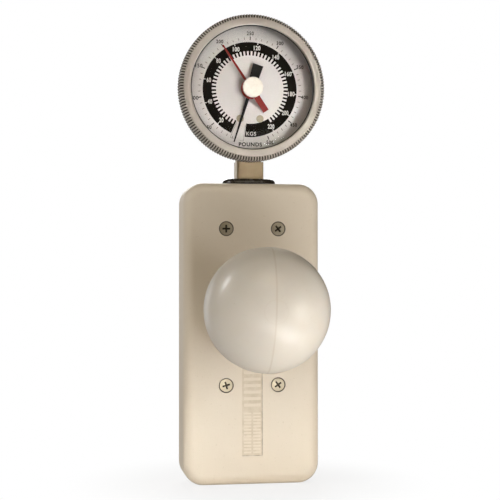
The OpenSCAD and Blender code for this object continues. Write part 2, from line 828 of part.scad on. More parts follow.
module piston() {
  color(satin_steel) at_push() translate([0, 0, piston_back]) difference() {
    cylinder(r = bore_r - running, h = piston_h);
    translate([0, 0, piston_h / 2]) rotate_extrude() {
      seal_section(seat_gap);
      translate([bore_r - seal_d / 2, -seal_d / 2 - seat_gap]) square([seal_d, seal_d + 2 * seat_gap]);
    }
    translate([0, 0, -cut]) cylinder(r = spigot_r + seat_gap, h = piston_h + 2 * cut);
  }
}

module piston_seal() {
  color(ink) at_push() translate([0, 0, piston_back + piston_h / 2]) rotate_extrude() seal_section(0);
}

module push_rod() {
  color(satin_steel) at_push() {
    translate([0, 0, piston_front]) cylinder(r = rod_r, h = rod_end - piston_front);
    translate([0, 0, piston_back]) cylinder(r = spigot_r, h = piston_h + cut);
  }
}

module lock_nut() {
  color(satin_steel) at_push() translate([0, 0, hub_back - nut_h]) difference() {
    cylinder(r = nut_corners / 2, h = nut_h, $fn = 6);
    translate([0, 0, -cut]) cylinder(r = rod_r + seat_gap, h = nut_h + 2 * cut);
  }
}

module pad_hub() {
  color(satin_steel) at_push() difference() {
    union() {
      translate([0, 0, hub_back]) cylinder(r = hub_r, h = hub_boss_l + cut);
      translate([0, 0, hub_flange_back]) cylinder(r = hub_flange_r, h = hub_flange_t);
    }
    translate([0, 0, hub_back - cut]) cylinder(r = rod_r + seat_gap, h = rod_end - hub_back + cut);
  }
}

function pad_outline() = concat(
  [[0, pad_out]],
  arc([0, pad_out - pad_crown_r], pad_crown_r, 88, 90 - pad_crown_turn, 9),
  arc([pad_r - pad_shoulder_r, pad_side_out], pad_shoulder_r, 90 - pad_crown_turn - 4, 0, 12),
  arc([pad_r - pad_rear_r, pad_side_back], pad_rear_r, 0, -90, 12),
  arc([pad_collar_r + pad_blend_r, pad_back - pad_blend_r], pad_blend_r, 90, 180, 6),
  [[pad_collar_r, collar_back], [hub_r + drop_gap, collar_back],
   [hub_r + drop_gap, hub_flange_back - drop_gap], [hub_flange_r + drop_gap, hub_flange_back - drop_gap],
   [hub_flange_r + drop_gap, hub_flange_front + drop_gap], [0, hub_flange_front + drop_gap]]);

module push_pad() {
  color(off_white) at_push() rotate_extrude($fn = 96) polygon(pad_outline());
}

// Gauge
module gauge_socket() {
  color(brass_tone) {
    difference() {
      translate([0, stem_y, stem_bottom]) {
        cylinder(r = stem_thread_r, h = stem_thread_l);
        translate([0, 0, stem_thread_l]) cylinder(r = stem_r, h = neck_bottom - cell_top + cut);
      }
      translate([0, stem_y, stem_bottom - cut]) cylinder(r = passage_r, h = gauge_z, $fn = small_fn);
    }
    difference() {
      union() {
        difference() {
          translate([0, stem_y, neck_bottom]) linear_extrude(neck_top - neck_bottom)
            rounded_rect(neck_w, neck_d, neck_edge_r);
          at_gauge() translate([0, 0, -neck_d]) cylinder(r = bezel_r + cut, h = 2 * neck_d, $fn = 180);
        }
        socket_waist();
        socket_head();
      }
      socket_passages();
    }
  }
}

// The waist passes through the case's wall behind the bezel
module socket_waist() {
  front = bezel_back - 2 * free_gap;
  at_gauge() translate([-waist_w, waist_bottom, -neck_d / 2])
    cube([2 * waist_w, waist_top - waist_bottom, neck_d / 2 + front]);
}

module socket_head() {
  at_gauge() translate([0, 0, case_floor]) difference() {
    intersection() {
      translate([0, 0, head_d]) mirror([0, 0, 1])
        rotate_extrude($fn = 180) edge_section(case_inner_r - drop_gap, head_d, case_edge_r - case_wall);
      translate([-head_w, -case_r, -cut]) cube([2 * head_w, case_r - head_top, head_d + 2 * cut]);
    }
    translate([0, 0, tube_mid - case_floor])
      rotate_extrude(angle = tube_root, start = tube_root_angle - tube_root, $fn = 144)
        tube_section(seat_gap);
    for (p = case_screw_places) {
      translate([p[0], p[1], -cut]) screw_hole(case_screw, case_screw_l - case_wall);
      translate([p[0], p[1], -case_wall]) mirror([0, 0, 1]) countersink(case_screw[1], case_screw[0]);
    }
    for (p = head_screw_places)
      translate([p[0], p[1], head_d - head_screw_l]) screw_hole(head_screw, head_screw_l);
  }
}

// Drillings that lead the oil from the stem to the root of the tube
module drilling(l) cylinder(r = passage_r, h = l, $fn = small_fn);

module socket_passages() {
  at_gauge() {
    translate([0, stem_bottom - gauge_z, 0]) rotate([-90, 0, 0])
      drilling(gauge_z - stem_bottom + passage_level);
    translate([0, passage_level, tube_mid]) drilling(-tube_mid);
    translate([0, passage_level, tube_mid]) rotate([-90, 0, 0]) drilling(tube_level - passage_level);
    translate([0, tube_level, tube_mid]) rotate([0, -90, 0]) drilling(tube_drilling_l);
  }
}

module gauge_case() {
  color(satin_steel) at_gauge() difference() {
    translate([0, 0, case_front]) mirror([0, 0, 1])
      rotate_extrude($fn = 180) edge_section(case_r, case_front - case_back, case_edge_r);
    translate([0, 0, case_front + cut]) mirror([0, 0, 1])
      rotate_extrude($fn = 180)
        edge_section(case_inner_r, case_front - case_floor + cut, case_edge_r - case_wall);
    translate([-waist_w - drop_gap, -case_r - cut, -neck_d / 2 - drop_gap])
      cube([2 * (waist_w + drop_gap), waist_slot_h, neck_d / 2 + bezel_back]);
    for (p = case_screw_places)
      translate([p[0], p[1], case_back]) mirror([0, 0, 1])
        flat_screw_hole(case_screw[1], case_screw[0], case_wall);
    translate([0, vent_up, case_back - cut]) cylinder(r = vent_r + seat_gap, h = case_wall + 2 * cut);
  }
}

module case_screws() {
  color("silver") at_gauge() for (p = case_screw_places)
    translate([p[0], p[1], case_back]) mirror([0, 0, 1])
      flat_screw(case_screw[1], case_screw[0], case_screw_l, case_screw_turn);
}

module vent_plug() {
  color(ink) at_gauge() translate([0, vent_up, case_back]) {
    translate([0, 0, -vent_lip_h]) cylinder(r = vent_r + vent_lip, h = vent_lip_h);
    translate([0, 0, -cut]) cylinder(r = vent_r, h = case_wall + cut);
  }
}

// A knurled skirt under a smooth face with a round shoulder
module bezel() {
  root_r = bezel_r - knurl_depth;
  skirt_h = bezel_h - shoulder_r;
  color(satin_steel) at_gauge() translate([0, 0, bezel_back]) difference() {
    union() {
      linear_extrude(skirt_h) knurl(bezel_r, root_r, knurl_count);
      rotate_extrude($fn = 180) translate([0, skirt_h - cut])
        edge_section(root_r - running, shoulder_r + cut, shoulder_r);
    }
    translate([0, 0, -cut]) cylinder(r = case_r + drop_gap, h = bezel_h - face_t + cut, $fn = 180);
    cylinder(r = window_r, h = bezel_h + cut, $fn = 180);
    translate([0, 0, bezel_h - lip_bevel])
      cylinder(r1 = window_r, r2 = window_r + 2 * lip_bevel, h = lip_bevel + seat_gap, $fn = 180);
  }
}

module knurl(outer, root, count) {
  step = 180 / count;
  polygon([for (i = [0 : 2 * count - 1])
    (i % 2 == 0 ? outer : root) * [cos(step * i), sin(step * i)]]);
}

module lens() {
  color([0.9, 0.93, 0.95, 0.3]) at_gauge() translate([0, 0, lens_back]) difference() {
    cylinder(r = case_r, h = lens_t, $fn = 180);
    translate([0, 0, -cut]) cylinder(r = bush_r + seat_gap, h = lens_t + 2 * cut);
  }
}

module lens_gasket() {
  color(ink) at_gauge() translate([0, 0, case_front]) ring(case_r, case_r - gasket_w, gasket_t);
}

module dial() {
  color("white") at_gauge() translate([0, 0, dial_back]) difference() {
    cylinder(r = dial_r, h = dial_t, $fn = 180);
    translate([0, 0, -cut]) cylinder(r = dial_hole_r, h = dial_t + 2 * cut);
    for (p = dial_screw_places)
      translate([p[0], p[1], -cut]) screw_hole(dial_screw, dial_t + cut);
  }
}

module dial_screws() {
  color(satin_steel) at_gauge() for (p = dial_screw_places)
    translate([p[0], p[1], dial_front]) pan_screw(dial_screw, dial_front - gap_front);
}

module tube_section(gap) {
  r = tube_t / 2 + gap;
  reach = (tube_w - tube_t) / 2;
  translate([tube_mean_r, 0]) {
    square([2 * r, 2 * reach], center = true);
    for (s = [-1, 1]) translate([0, s * reach]) circle(r, $fn = small_fn);
  }
}

module bourdon_tube() {
  color(brass_tone) at_gauge() translate([0, 0, tube_mid])
    rotate_extrude(angle = tube_root_angle - tube_end_angle, start = tube_end_angle, $fn = 144) difference() {
      tube_section(0);
      tube_section(-tube_wall);
    }
}

module tube_tip() {
  width = tube_t + tip_margin;
  color(brass_tone) at_gauge() difference() {
    union() {
      rotate_extrude(angle = tip_angle, start = tube_end_angle - tip_angle)
        translate([tube_mean_r - width / 2, case_floor + cut]) square([width, tip_front - case_floor - cut]);
      translate([tip_point[0], tip_point[1], case_floor + cut])
        cylinder(r = tip_post_r, h = link_back - free_gap - case_floor - cut, $fn = small_fn);
    }
    translate([tip_point[0], tip_point[1], tip_front - pin_seat])
      cylinder(r = link_pin_r + seat_gap, h = link_back - tip_front + pin_seat + cut, $fn = small_fn);
  }
}

module tip_pin() {
  color(satin_steel) at_gauge() translate([tip_point[0], tip_point[1], 0]) {
    translate([0, 0, tip_front - pin_seat])
      cylinder(r = link_pin_r, h = link_front + free_gap + pin_seat - tip_front + cut, $fn = small_fn);
    translate([0, 0, link_front + free_gap])
      cylinder(r = link_pin_r + 2 * slot_play + cut, h = cut, $fn = small_fn);
  }
}

// Movement
module plate(t) {
  h = plate_up + plate_down;
  translate([0, (plate_up - plate_down) / 2, 0]) linear_extrude(t) rounded_rect(plate_w, h, plate_corner_r);
}

module pivot_holes(t) {
  cylinder(r = pinion_arbor_r + running, h = t + 2 * cut, $fn = small_fn);
  translate(pivot) cylinder(r = sector_arbor_r + running, h = t + 2 * cut, $fn = small_fn);
}

module movement_back_plate() {
  color(brass_tone) at_gauge() translate([0, 0, head_front]) difference() {
    plate(plate_t);
    translate([0, 0, -cut]) pivot_holes(plate_t);
    for (p = pillar_places)
      translate([p[0], p[1], -cut]) screw_hole(pillar_screw, plate_t + cut);
    for (p = head_screw_places)
      translate([p[0], p[1], -cut]) screw_hole(head_screw, plate_t + cut);
  }
}

module movement_front_plate() {
  stud_place = (hairspring_r + hairspring_t / 2 + stud_r + seat_gap) * [cos(stud_angle), sin(stud_angle)];
  color(brass_tone) at_gauge() difference() {
    union() {
      translate([0, 0, gap_front]) plate(plate_t);
      for (p = dial_screw_places)
        translate([p[0], p[1], gap_front])
          cylinder(r = dial_boss_r, h = plate_t + dial_boss_h, $fn = small_fn);
      translate([stud_place[0], stud_place[1], spring_back])
        cylinder(r = stud_r, h = gap_front - spring_back + cut, $fn = small_fn);
    }
    translate([0, 0, gap_front - cut]) pivot_holes(plate_t);
    for (p = pillar_places)
      translate([p[0], p[1], gap_front - cut]) screw_hole(pillar_screw, plate_t + cut);
    for (p = dial_screw_places)
      translate([p[0], p[1], gap_front - cut]) screw_hole(dial_screw, plate_t + dial_boss_h + cut);
  }
}

module plate_pillars() {
  color(brass_tone) at_gauge() for (p = pillar_places) translate([p[0], p[1], gap_back]) difference() {
    cylinder(r = pillar_r, h = plate_gap, $fn = small_fn);
    for (z = [-cut, plate_gap - pillar_screw_l - cut])
      translate([0, 0, z]) screw_hole(pillar_screw, pillar_screw_l + cut);
  }
}

module movement_screws() {
  color("silver") at_gauge() {
    for (p = pillar_places) {
      translate([p[0], p[1], plate_front]) pan_screw(pillar_screw, plate_t + pillar_screw_l - cut);
      translate([p[0], p[1], head_front])
        cylinder(r = pillar_screw[0], h = plate_t + pillar_screw_l - cut, $fn = small_fn);
    }
    for (p = head_screw_places)
      translate([p[0], p[1], gap_back]) pan_screw(head_screw, plate_t + head_screw_l - cut);
  }
}

// Involute teeth: half the angle that a tooth takes up at radius r, and its side from root to crest
function involute(a) = tan(a) * 180 / PI - a;
function half_tooth(r, pitch, count, backlash) =
  let (base = pitch * cos(20), a = acos(min(1, base / max(r, base))))
  90 / count + involute(20) - involute(a) - backlash / pitch * 90 / PI;
function tooth_side(pitch, count, reach, backlash) =
  let (root = pitch - reach[1], start = max(root, pitch * cos(20)))
  concat([[root, half_tooth(root, pitch, count, backlash)]],
    [for (i = [0 : 4]) let (r = start + (pitch + reach[0] - start) * i / 4)
      [r, half_tooth(r, pitch, count, backlash)]]);
function teeth(side, centres) = [for (c = centres)
  each concat([for (p = side) p[0] * [cos(c - p[1]), sin(c - p[1])]],
    [for (i = [len(side) - 1 : -1 : 0]) let (p = side[i]) p[0] * [cos(c + p[1]), sin(c + p[1])]])];

backlash = 0.2 * gear_module;

module sector_teeth() {
  side = tooth_side(sector_r, sector_full_teeth, sector_tooth * gear_module, backlash);
  first = mesh_angle - (ceil(swing / tooth_step) + 2) * tooth_step;
  last = mesh_angle + 2 * tooth_step;
  inner = sector_r - sector_rim;
  polygon(concat(teeth(side, [first : tooth_step : last]),
    arc([0, 0], inner, last + tooth_step / 2, first - tooth_step / 2, 16)));
}

module sector_gear() {
  mid = mesh_angle - swing / 2;
  color(brass_tone) at_gauge() translate([pivot[0], pivot[1], sector_back]) difference() {
    linear_extrude(sector_t) {
      sector_teeth();
      for (s = [-1, 1])
        rotate(mid + s * spoke_turn) translate([0, -spoke_w / 2])
          square([sector_r - sector_rim + cut, spoke_w]);
      circle(sector_hub_r);
      rotate(tail_angle) {
        translate([0, -tail_w / 2]) square([tail_l, tail_w]);
        translate([tail_l, 0]) circle(tail_w / 2, $fn = small_fn);
      }
    }
    translate([0, 0, -cut]) cylinder(r = sector_arbor_r + seat_gap, h = sector_t + 2 * cut, $fn = small_fn);
    rotate(tail_angle) translate([tail_l, 0, -cut])
      cylinder(r = link_pin_r + seat_gap, h = sector_t + 2 * cut, $fn = small_fn);
  }
}

module sector_arbor() {
  color(satin_steel) at_gauge() translate([pivot[0], pivot[1], 0]) {
    translate([0, 0, head_front + arbor_end_gap])
      cylinder(r = sector_arbor_r, h = plate_front - head_front - 2 * arbor_end_gap, $fn = small_fn);
    translate([0, 0, gap_back + running])
      cylinder(r = collar_r, h = sector_back - gap_back - running, $fn = small_fn);
    translate([0, 0, sector_front])
      cylinder(r = collar_r, h = gap_front - sector_front - running, $fn = small_fn);
  }
}

module tail_pin() {
  color(satin_steel) at_gauge() translate([tail_rest[0], tail_rest[1], 0]) {
    translate([0, 0, sector_back])
      cylinder(r = link_pin_r, h = link_front - sector_back + 2 * running, $fn = small_fn);
    translate([0, 0, link_front + 2 * running]) cylinder(r = pin_head_r, h = pin_head_h, $fn = small_fn);
  }
}

module tip_link() {
  eye_r = link_w / 2;
  slot_r = link_pin_r + slot_play;
  slot_start = link_l - link_travel;
  color(brass_tone) at_gauge()
  translate([tail_rest[0], tail_rest[1], link_back]) rotate(link_turn) difference() {
    linear_extrude(link_t) {
      circle(eye_r, $fn = small_fn);
      translate([0, link_waist - link_w / 2]) square([slot_start, link_w - 2 * link_waist]);
      translate([slot_start, -slot_r - link_edge]) square([link_travel, 2 * (slot_r + link_edge)]);
      for (x = [slot_start, link_l])
        translate([x, 0]) circle(slot_r + link_edge + seat_gap, $fn = small_fn);
    }
    translate([0, 0, -cut]) cylinder(r = link_pin_r + running, h = link_t + 2 * cut, $fn = small_fn);
    translate([slot_start, -slot_r, -cut]) cube([link_travel, 2 * slot_r, link_t + 2 * cut]);
    for (x = [slot_start, link_l])
      translate([x, 0, -cut]) cylinder(r = slot_r + seat_gap, h = link_t + 2 * cut, $fn = small_fn);
  }
}

module pinion_shaft() {
  side = tooth_side(pitch_r, pinion_teeth, pinion_tooth * gear_module, backlash);
  step = 360 / pinion_teeth;
  color(satin_steel) at_gauge() {
    translate([0, 0, head_front + arbor_end_gap])
      cylinder(r = pinion_arbor_r, h = pointer_front - head_front - 2 * arbor_end_gap, $fn = small_fn);
    translate([0, 0, pinion_back]) linear_extrude(pinion_front - pinion_back)
      polygon(teeth(side, [for (i = [0 : pinion_teeth - 1]) mesh_angle + 180 + (i + 0.5) * step]));
    translate([0, 0, pinion_front]) cylinder(r = neck_r, h = spring_back - pinion_front, $fn = small_fn);
    translate([0, 0, spring_back]) cylinder(r = collet_r, h = spring_h, $fn = small_fn);
  }
}

// A flat spiral from the collet out to its stud
module hairspring() {
  steps = 24 * hairspring_turns;
  turn = 360 * hairspring_turns;
  function spiral(offset) = [for (i = [0 : steps])
    let (a = stud_angle - turn * (1 - i / steps),
         r = spring_inner_r + hairspring_t / 2 + offset
           + (hairspring_r - spring_inner_r - hairspring_t / 2) * i / steps)
    r * [cos(a), sin(a)]];
  inner_line = spiral(-hairspring_t / 2);
  outer_line = spiral(hairspring_t / 2);
  color(satin_steel) at_gauge() translate([0, 0, spring_back]) linear_extrude(spring_h)
    polygon(concat(outer_line, [for (i = [steps : -1 : 0]) inner_line[i]]));
}

// Hands
module pointer() {
  color(ink) at_gauge() rotate(-pointer_rest) difference() {
    union() {
      translate([0, 0, pointer_back]) linear_extrude(hand_t) {
        tapered_hand(pointer_root_w, pointer_tip_w, pointer_l);
        rotate(180) tapered_hand(pointer_tail_w[0], pointer_tail_w[1], pointer_tail);
        circle(pointer_disc_r);
      }
      translate([0, 0, dial_front + pointer_gap / 4])
        cylinder(r = pointer_hub_r, h = pointer_gap * 3 / 4 + hand_t + max_gap / 4);
    }
    translate([0, 0, dial_front])
      cylinder(r = pinion_arbor_r + seat_gap, h = pointer_gap + hand_t, $fn = small_fn);
  }
}

module tapered_hand(root_w, tip_w, l) {
  polygon([[-root_w / 2, 0], [-tip_w / 2, l], [tip_w / 2, l], [root_w / 2, 0]]);
}

module max_hand() {
  color(signal_red) at_gauge() rotate(-max_rest) difference() {
    union() {
      translate([0, 0, max_back]) linear_extrude(hand_t) {
        tapered_hand(max_root_w, max_tip_w, max_l);
        rotate(180) tapered_hand(max_tail_w, max_tail_w, max_tail);
        circle(knob_r + disc_edge);
      }
      translate([-carry_tab[0] / 2, carry_tab_r, pointer_front + free_gap])
        cube([carry_tab[0], carry_tab[1], max_gap - free_gap + hand_t]);
      translate([0, 0, max_back]) cylinder(r = max_collet_r, h = bush_back - max_back - 2 * running);
    }
    translate([0, 0, max_back - cut])
      cylinder(r = spindle_r + seat_gap, h = lens_back - max_back + cut, $fn = small_fn);
  }
}

module reset_spindle() {
  color(satin_steel) at_gauge() translate([0, 0, max_back])
    cylinder(r = spindle_r, h = knob_back + knob_h / 2 - max_back, $fn = small_fn);
}

module reset_bush() {
  color(brass_tone) at_gauge() difference() {
    union() {
      translate([0, 0, bush_back]) cylinder(r = bush_r + bush_flange_w, h = bush_flange_t);
      translate([0, 0, bush_back]) cylinder(r = bush_r, h = lens_front - bush_back);
    }
    translate([0, 0, bush_back - cut])
      cylinder(r = spindle_r + running, h = lens_front - bush_back + 2 * cut, $fn = small_fn);
  }
}

module friction_washer() {
  color(satin_steel) at_gauge() translate([0, 0, lens_front + running])
    ring(bush_r + washer_w, spindle_r + seat_gap, washer_t);
}

module reset_knob() {
  color([0.95, 0.92, 0.85]) at_gauge() translate([0, 0, knob_back]) difference() {
    rotate_extrude() edge_section(knob_r, knob_h, knob_edge_r);
    translate([0, 0, -cut]) cylinder(r = spindle_r + seat_gap, h = knob_h / 2 + cut, $fn = small_fn);
  }
}

front_shell();
rear_cover();
cover_screws();
cell_screws();
stem_grommet();
cell_body();
gland_ring();
rod_bushing();
filler_plug();
plug_seal();
piston();
piston_seal();
push_rod();
lock_nut();
pad_hub();
push_pad();
gauge_socket();
gauge_case();
case_screws();
vent_plug();
bezel();
lens();
lens_gasket();
reset_bush();
dial();
dial_screws();
bourdon_tube();
tube_tip();
tip_pin();
movement_back_plate();
movement_front_plate();
plate_pillars();
movement_screws();
sector_gear();
sector_arbor();
tail_pin();
tip_link();
pinion_shaft();
hairspring();
pointer();
max_hand();
reset_spindle();
friction_washer();
reset_knob();
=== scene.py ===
"""Looks of the push-type hand dynamometer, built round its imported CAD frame.

Lengths are in millimetres until they enter a mesh or a material. Colours are written from 0 to 255.
"""

import json
import math

import bmesh
import bpy
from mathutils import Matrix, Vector


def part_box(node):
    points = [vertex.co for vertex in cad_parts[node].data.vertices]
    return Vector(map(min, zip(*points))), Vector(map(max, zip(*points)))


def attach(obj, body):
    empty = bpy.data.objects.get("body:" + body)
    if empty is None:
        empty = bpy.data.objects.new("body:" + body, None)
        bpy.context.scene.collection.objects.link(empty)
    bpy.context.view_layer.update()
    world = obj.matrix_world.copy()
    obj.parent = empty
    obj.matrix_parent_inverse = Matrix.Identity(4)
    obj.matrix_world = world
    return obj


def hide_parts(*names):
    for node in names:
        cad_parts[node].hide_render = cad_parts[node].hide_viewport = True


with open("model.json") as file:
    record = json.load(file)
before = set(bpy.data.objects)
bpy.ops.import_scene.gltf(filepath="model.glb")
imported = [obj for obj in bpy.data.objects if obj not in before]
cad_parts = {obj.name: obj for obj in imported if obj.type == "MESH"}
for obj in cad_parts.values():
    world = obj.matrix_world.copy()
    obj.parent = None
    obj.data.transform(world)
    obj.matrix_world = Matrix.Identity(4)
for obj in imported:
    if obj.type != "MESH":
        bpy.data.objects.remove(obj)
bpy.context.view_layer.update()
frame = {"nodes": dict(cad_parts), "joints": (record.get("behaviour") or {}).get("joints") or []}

MM = 0.001


def in_mm(corners):
    """The corners of a box, from metres to millimetres."""
    return [corner / MM for corner in corners]


# Centre of the gauge, front face of the housing and the point where the push axis leaves it
joints = {joint["name"]: joint for joint in frame["joints"]}
GAUGE = Vector(joints["pointer_turn"]["pos_m"]) / MM
FRONT = in_mm(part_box("front_shell"))[0].y
PAD_LOW, PAD_HIGH = in_mm(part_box("push_pad"))
PUSH = Vector((0, FRONT, (PAD_LOW.z + PAD_HIGH.z) / 2))

# Front screws: radius of a head, distances from the push axis, and how deep the heads sit in the front
CELL_HEAD = 4.0
CELL_LOW, CELL_HIGH = in_mm(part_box("cell_screws"))
CELL_X = (CELL_HIGH.x - CELL_LOW.x) / 2 - CELL_HEAD
CELL_Z = (CELL_HIGH.z - CELL_LOW.z) / 2 - CELL_HEAD
CELL_SINK = CELL_LOW.y - FRONT

# Ribbed panel: width, length, and heights of its bottom edge and its middle above the base
PANEL_W = 12.8
PANEL_L = 58.0
PANEL_BOTTOM = 18.0
PANEL_Z = PANEL_BOTTOM + PANEL_L / 2


# Frames about the gauge's centre and the push axis: x runs right, y up, and g and h out of the front
def on_gauge(x, y, g):
    return Vector((GAUGE.x + x, GAUGE.y - g, GAUGE.z + y)) * MM


def on_push(x, y, h):
    return Vector((PUSH.x + x, PUSH.y - h, PUSH.z + y)) * MM


def clockwise(angle):
    """Unit vector at an angle in degrees, clockwise from the top of the dial."""
    turn = math.radians(angle)
    return math.sin(turn), math.cos(turn)


# Materials, with the places of the colour sockets on a mix node
MIX_FACTOR = 0
MIX_FIRST = 6
MIX_SECOND = 7
MIX_RESULT = 2


def linear(colour):
    """A colour as linear light, with full alpha."""
    shares = [value / 255 for value in colour]
    return [s / 12.92 if s <= 0.04045 else ((s + 0.055) / 1.055) ** 2.4 for s in shares] + [1.0]


def add_node(tree, kind, inputs=None, **settings):
    """Adds a node. inputs gives a value, or a socket to link, for each of its sockets by name or place."""
    node = tree.nodes.new(kind)
    for key, value in settings.items():
        setattr(node, key, value)
    for key, value in (inputs or {}).items():
        socket = node.inputs[key]
        if isinstance(value, bpy.types.NodeSocket):
            tree.links.new(value, socket)
        else:
            socket.default_value = value
    return node


class Look:
    """A node material. Patterns read object coordinates, which are the row frame's metres."""

    def __init__(self, name, colour, rough, metal=0.0, **sockets):
        self.material = bpy.data.materials.new(name)
        self.material.use_nodes = True
        self.tree = self.material.node_tree
        self.shader = self.tree.nodes["Principled BSDF"]
        self.shader.inputs["Base Color"].default_value = linear(colour)
        self.shader.inputs["Roughness"].default_value = rough
        self.shader.inputs["Metallic"].default_value = metal
        for key, value in sockets.items():
            self.shader.inputs[key.replace("_", " ")].default_value = value
        self.place = self.make("ShaderNodeTexCoord").outputs["Object"]
        self.tone = linear(colour)
        self.normal = None

    def make(self, kind, inputs=None, **settings):
        return add_node(self.tree, kind, inputs, **settings)

    def calc(self, operation, a, b=0.0, c=0.0):
        return self.make("ShaderNodeMath", {0: a, 1: b, 2: c}, operation=operation).outputs[0]

    def product(self, first, *others):
        for other in others:
            first = self.calc("MULTIPLY", first, other)
        return first

    def length(self, a, b):
        return self.calc("SQRT", self.calc("ADD", self.calc("MULTIPLY", a, a), self.calc("MULTIPLY", b, b)))

    def ramp(self, value, low, high, start=0.0, end=1.0, curve="LINEAR"):
        """Runs from start to end while a value goes from low to high, and stays level outside them."""
        inputs = {0: value, 1: low, 2: high, 3: start, 4: end}
        return self.make("ShaderNodeMapRange", inputs, clamp=True, interpolation_type=curve).outputs[0]

    def within(self, value, half, edge=0.05):
        """1 where a length is nearer to 0 than half, in millimetres, with a soft edge."""
        return self.ramp(self.calc("ABSOLUTE", value), half * MM, (half + edge) * MM, 1.0, 0.0)

    def parts(self, centre):
        """X, Y and Z in metres, from a centre in millimetres."""
        inputs = {0: self.place, 1: tuple(centre * MM)}
        away = self.make("ShaderNodeVectorMath", inputs, operation="SUBTRACT").outputs[0]
        return self.make("ShaderNodeSeparateXYZ", {0: away}).outputs

    def noise(self, scale, detail=3.0, rough=0.55, place=None):
        inputs = {"Vector": place or self.place, "Scale": scale, "Detail": detail, "Roughness": rough}
        return self.make("ShaderNodeTexNoise", inputs).outputs["Fac"]

    def turned(self, scale, axis):
        """Fine rings round an axis along Y, as a lathe leaves them."""
        part = self.parts(axis)
        rings = {0: self.length(part["X"], part["Z"]), 1: part["Y"], 2: 0.0}
        return self.noise(scale, 4.0, 0.7, self.make("ShaderNodeCombineXYZ", rings).outputs[0])

    def brushed(self, scale, stretch):
        """Fine marks, drawn out along the directions in which stretch is small."""
        inputs = {0: self.place, 1: stretch}
        drawn = self.make("ShaderNodeVectorMath", inputs, operation="MULTIPLY").outputs[0]
        return self.noise(scale, 4.0, 0.7, drawn)

    def tint(self, factor, colour, share):
        """Mixes another colour into the base colour by a factor."""
        amount = self.calc("MULTIPLY", factor, share)
        inputs = {MIX_FACTOR: amount, MIX_FIRST: self.tone, MIX_SECOND: linear(colour)}
        self.tone = self.make("ShaderNodeMix", inputs, data_type="RGBA").outputs[MIX_RESULT]
        self.tree.links.new(self.tone, self.shader.inputs["Base Color"])
        return self

    def blotch(self, colour, share, scale, low, high, detail=4.0, rough=0.55):
        """Mixes another colour in where a noise runs from low to high."""
        return self.tint(self.ramp(self.noise(scale, detail, rough), low, high), colour, share)

    def shine(self, factor, low, high):
        """Roughness runs from low to high with a factor."""
        self.tree.links.new(self.ramp(factor, 0.0, 1.0, low, high), self.shader.inputs["Roughness"])
        return self

    def relief(self, height, depth, strength):
        """Bump by a height from 0 to 1, with its depth in millimetres."""
        inputs = {"Height": height, "Distance": depth * MM, "Strength": strength}
        if self.normal:
            inputs["Normal"] = self.normal
        self.normal = self.make("ShaderNodeBump", inputs).outputs[0]
        self.tree.links.new(self.normal, self.shader.inputs["Normal"])
        return self

    def shade_as(self, factor, first, second):
        """Shows a mix of two shaders in place of the usual one."""
        mix = self.make("ShaderNodeMixShader", {0: factor, 1: first.outputs[0], 2: second.outputs[0]})
        self.tree.links.new(mix.outputs[0], self.tree.nodes["Material Output"].inputs["Surface"])
        return self


def ribbed_panel(look):
    """Two factors: the panel's recessed floor, mottled, where shade is painted, and the strip along its
    right and bottom edges, where painted shade and grime go.
    """
    part = look.parts(Vector((0, FRONT, PANEL_Z)))
    floor = look.product(look.ramp(part["Y"], 0.25 * MM, 0.55 * MM),
                         look.within(part["X"], PANEL_W / 2 + 0.1),
                         look.within(part["Z"], PANEL_L / 2 + 0.1),
                         look.within(part["Y"], 1.0))
    mottle = look.calc("ADD", 0.5, look.ramp(look.noise(260), 0.35, 0.65))
    right = look.ramp(part["X"], (PANEL_W / 2 - 0.5) * MM, (PANEL_W / 2 - 0.1) * MM)
    bottom = look.ramp(part["Z"], (0.5 - PANEL_L / 2) * MM, (0.1 - PANEL_L / 2) * MM)
    return look.product(floor, mottle), look.calc("MAXIMUM", right, bottom)


def screw_rings(look):
    """Factor of the painted shade rings round the front screws, where they sit in the paint."""
    part = look.parts(PUSH)
    across = look.calc("SUBTRACT", look.calc("ABSOLUTE", part["X"]), CELL_X * MM)
    up = look.calc("SUBTRACT", look.calc("ABSOLUTE", part["Z"]), CELL_Z * MM)
    radius = look.length(across, up)
    outside = look.ramp(radius, (CELL_HEAD - 0.3) * MM, (CELL_HEAD - 0.1) * MM)
    return look.product(outside, look.within(radius, CELL_HEAD + 0.5, 0.2), look.within(part["Y"], 3.0))


def housing_paint():
    """Cream paint: cloudy and flecked, with painted shade in the ribbed panel's recess, painted shade and
    grime along that recess's edges, and painted shade rings round the front screws.
    """
    look = Look("housing_paint", (231, 217, 196), 0.5, Specular_IOR_Level=0.42)
    look.blotch((224, 208, 184), 0.5, 22, 0.42, 0.75)
    look.blotch((196, 178, 148), 0.3, 700, 0.66, 0.76, detail=2.0)
    look.blotch((236, 222, 198), 0.5, 90, 0.68, 0.78, detail=5.0, rough=0.7)
    floor, edge_shade_and_grime = ribbed_panel(look)
    # Painted shade on the panel's recessed floor, then painted shade with some grime along its right and
    # bottom edges
    look.tint(floor, (190, 170, 132), 0.3)
    look.tint(look.product(floor, edge_shade_and_grime), (96, 78, 50), 0.45)
    # Painted shade: dark rings round the front screws' heads
    look.tint(screw_rings(look), (58, 46, 32), 0.92)
    look.shine(look.noise(300), 0.44, 0.6)
    look.relief(look.noise(1500, 2.0, 0.6), 0.05, 0.55)
    return look.relief(look.noise(160, 2.0), 0.12, 0.35)


def pad_seam(look):
    """Factor of the moulding seam, which leans a little and wavers."""
    part = look.parts(PUSH)
    lean = math.tan(math.radians(2.0))
    beside = look.calc("ABSOLUTE", look.calc("MULTIPLY_ADD", part["Z"], -lean, part["X"]))
    waver = look.calc("MULTIPLY", look.noise(60, 2.0), 0.25 * MM)
    return look.ramp(look.calc("SUBTRACT", beside, waver), 0.1 * MM, 0.6 * MM, 1.0, 0.0)


